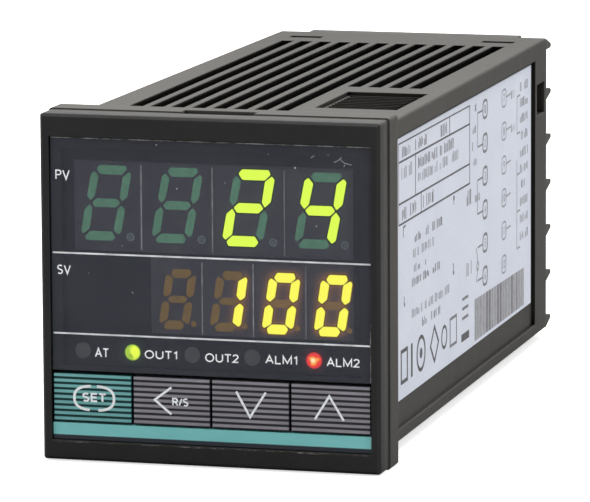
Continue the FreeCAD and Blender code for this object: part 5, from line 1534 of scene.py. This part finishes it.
def capacitor(y, z, radius, x_top, x_foot, sign, aim):
    """Can end with its scored vent, the rolled sleeve edge and the pale stripe down one side."""
    face = Face(x_top, sign)
    face.disc(tops, y, z, radius * 0.86, 0.03, n=36)
    for k in range(3):
        a = math.radians(90 + 120 * k)
        face.line(vents, [(y, z), (y + radius * 0.62 * math.cos(a), z + radius * 0.62 * math.sin(a))], 0.16, 0.045, 0.025)
    inner, outer, n = radius * 0.85, radius + 0.004, 40
    verts, faces = [], []
    prof = ((outer, -0.35), (outer - 0.02, 0.02), (radius * 0.93, 0.10), (inner, 0.05), (inner, 0.0))
    for rr, d in prof:
        for k in range(n):
            a = 2 * math.pi * k / n
            verts.append(face.place(y * sign + rr * math.cos(a), z + rr * math.sin(a), d))
    for q in range(len(prof)):
        for k in range(n):
            a, b = q * n + k, q * n + (k + 1) % n
            c, d_ = ((q + 1) % len(prof)) * n + k, ((q + 1) % len(prof)) * n + (k + 1) % n
            faces.append((a, b, d_, c))
    tops.add(verts, faces, 1)
    x0, x1 = sorted((x_top - sign * 0.4, x_foot + sign * 0.6))
    steps = 8
    verts, faces = [], []
    for k in range(steps + 1):
        a = aim + (k / steps - 0.5) * 0.75
        for rr in (radius - 0.01, radius + 0.02):
            for x in (x0, x1):
                verts.append((x, y + rr * math.cos(a), z + rr * math.sin(a)))
    for k in range(steps):
        p, q = 4 * k, 4 * (k + 1)
        faces += [(p + 2, p + 3, q + 3, q + 2), (p, q, q + 1, p + 1), (p, p + 2, q + 2, q), (p + 1, q + 1, q + 3, p + 3)]
    e = 4 * steps
    faces += [(0, 1, 3, 2), (e, e + 2, e + 3, e + 1)]
    bands.add(verts, faces, 0)


for y in (28.5, 38.5, 48.5):
    capacitor(y, 13.2, 4.0, -1.0, PB_LO[0], -1, math.radians(100))
capacitor(25.5, -9.5, 6.0, -7.5, PB_LO[0], -1, math.radians(70))
for y, z in ((14, 13), (64, 12), (64, -12)):
    capacitor(y, z, 2.4, mm("signal_capacitors")[1][0], CB_HI[0], 1, math.radians(-60))
tops.make("capacitor_ends", [CAN_TOP, SLEEVE], "chassis", slot="capacitor_sleeve")
vents.make("capacitor_vents", ink("vent_score", (0.20, 0.20, 0.21), rough=0.4), "chassis", slot="capacitor_sleeve")
bands.make("capacitor_stripes", STRIPE, "chassis", slot="capacitor_sleeve")

# transformer: end flap of the tape, the ground joint between the core halves
g = Geo()
lo, hi = mm("transformer_winding")
g.box((lo[0] - 0.04, lo[1] + 2.4, lo[2] + 3.0), (lo[0] + 0.02, hi[1] - 2.0, hi[2] - 1.2))
g.make("winding_tape_flap", TAPE, "chassis", slot="winding_tape")
g = Geo()
lo, hi = mm("transformer_core")
ym = (lo[1] + hi[1]) / 2
for x0, x1 in ((lo[0] - 0.015, lo[0] + 0.01),):
    g.box((x0, ym - 0.06, lo[2] + 0.2), (x1, ym + 0.06, hi[2] - 0.2))
g.make("core_joint_line", ink("core_glue", (0.16, 0.12, 0.06), rough=0.4), "chassis", slot="ferrite")

# relay tops: sunk border, vent nipple and plain printed bars
g, pr = Geo(), Geo()
for node in ("output_relay", "alarm_relay_one", "alarm_relay_two"):
    lo, hi = mm(node)
    f = Face(lo[0], -1)
    y0, y1, z0, z1 = lo[1] + 0.8, hi[1] - 0.8, lo[2] + 0.8, hi[2] - 0.8
    f.line(g, [(y0, z0), (y1, z0), (y1, z1), (y0, z1), (y0, z0)], 0.34, 0.10)
    f.disc(g, y1 - 1.6, z1 - 1.5, 0.55, 0.38, n=18)
    for k, (w0, w1) in enumerate(((3.0, 12.5), (3.0, 9.4), (3.0, 11.2))):
        f.rect(pr, lo[1] + w0, lo[1] + w1, lo[2] + 2.6 + 1.7 * k, lo[2] + 3.05 + 1.7 * k, 0.02)
    side = lambda u, v, d, _z=hi[2]: (u, v, _z + d)
    pr.prism([(lo[0] + 2.5, lo[1] + 4.0), (lo[0] + 3.1, lo[1] + 4.0), (lo[0] + 3.1, lo[1] + 14.0), (lo[0] + 2.5, lo[1] + 14.0)], side, 0.02, -0.02)
g.make("relay_rims", RELAY, "chassis", slot="relay_cover")
pr.make("relay_print_bars", RELAY_PRINT, "chassis", slot="relay_cover")

# terminal numbers on the rear, plain figures in two columns, with a moulded divider
NUMBER_INK = ink("rear_number_ink", (0.58, 0.58, 0.56), vary=0.12, size_mm=0.6)
g = Geo()
for i in range(6):
    z = (2.5 - i) * 7.03 - 0.3
    for s, u in ((str(i + 1), 4.6), (str(i + 7), -4.6)):
        wd = (0.34 if s == "1" else 0.62) if len(s) == 1 else (1.02 if s != "11" else 0.85)
        text(g, s, u - wd, u + wd, z - 0.95, z + 0.95, 103.72, back, bold=0.012)
g.make("rear_numbers", NUMBER_INK, "case", slot="terminal_moulding")
g = Geo()
for i in range(7):
    z = (3 - i) * 7.03 - 0.3
    if abs(z) < 20:
        g.box((-6.9, 103.68, z - 0.12), (6.9, 103.80, z + 0.12))
g.box((-0.14, 103.68, -19.6), (0.14, 103.80, 19.6))
g.make("rear_divider_ribs", TERMINAL, "case", slot="terminal_moulding")
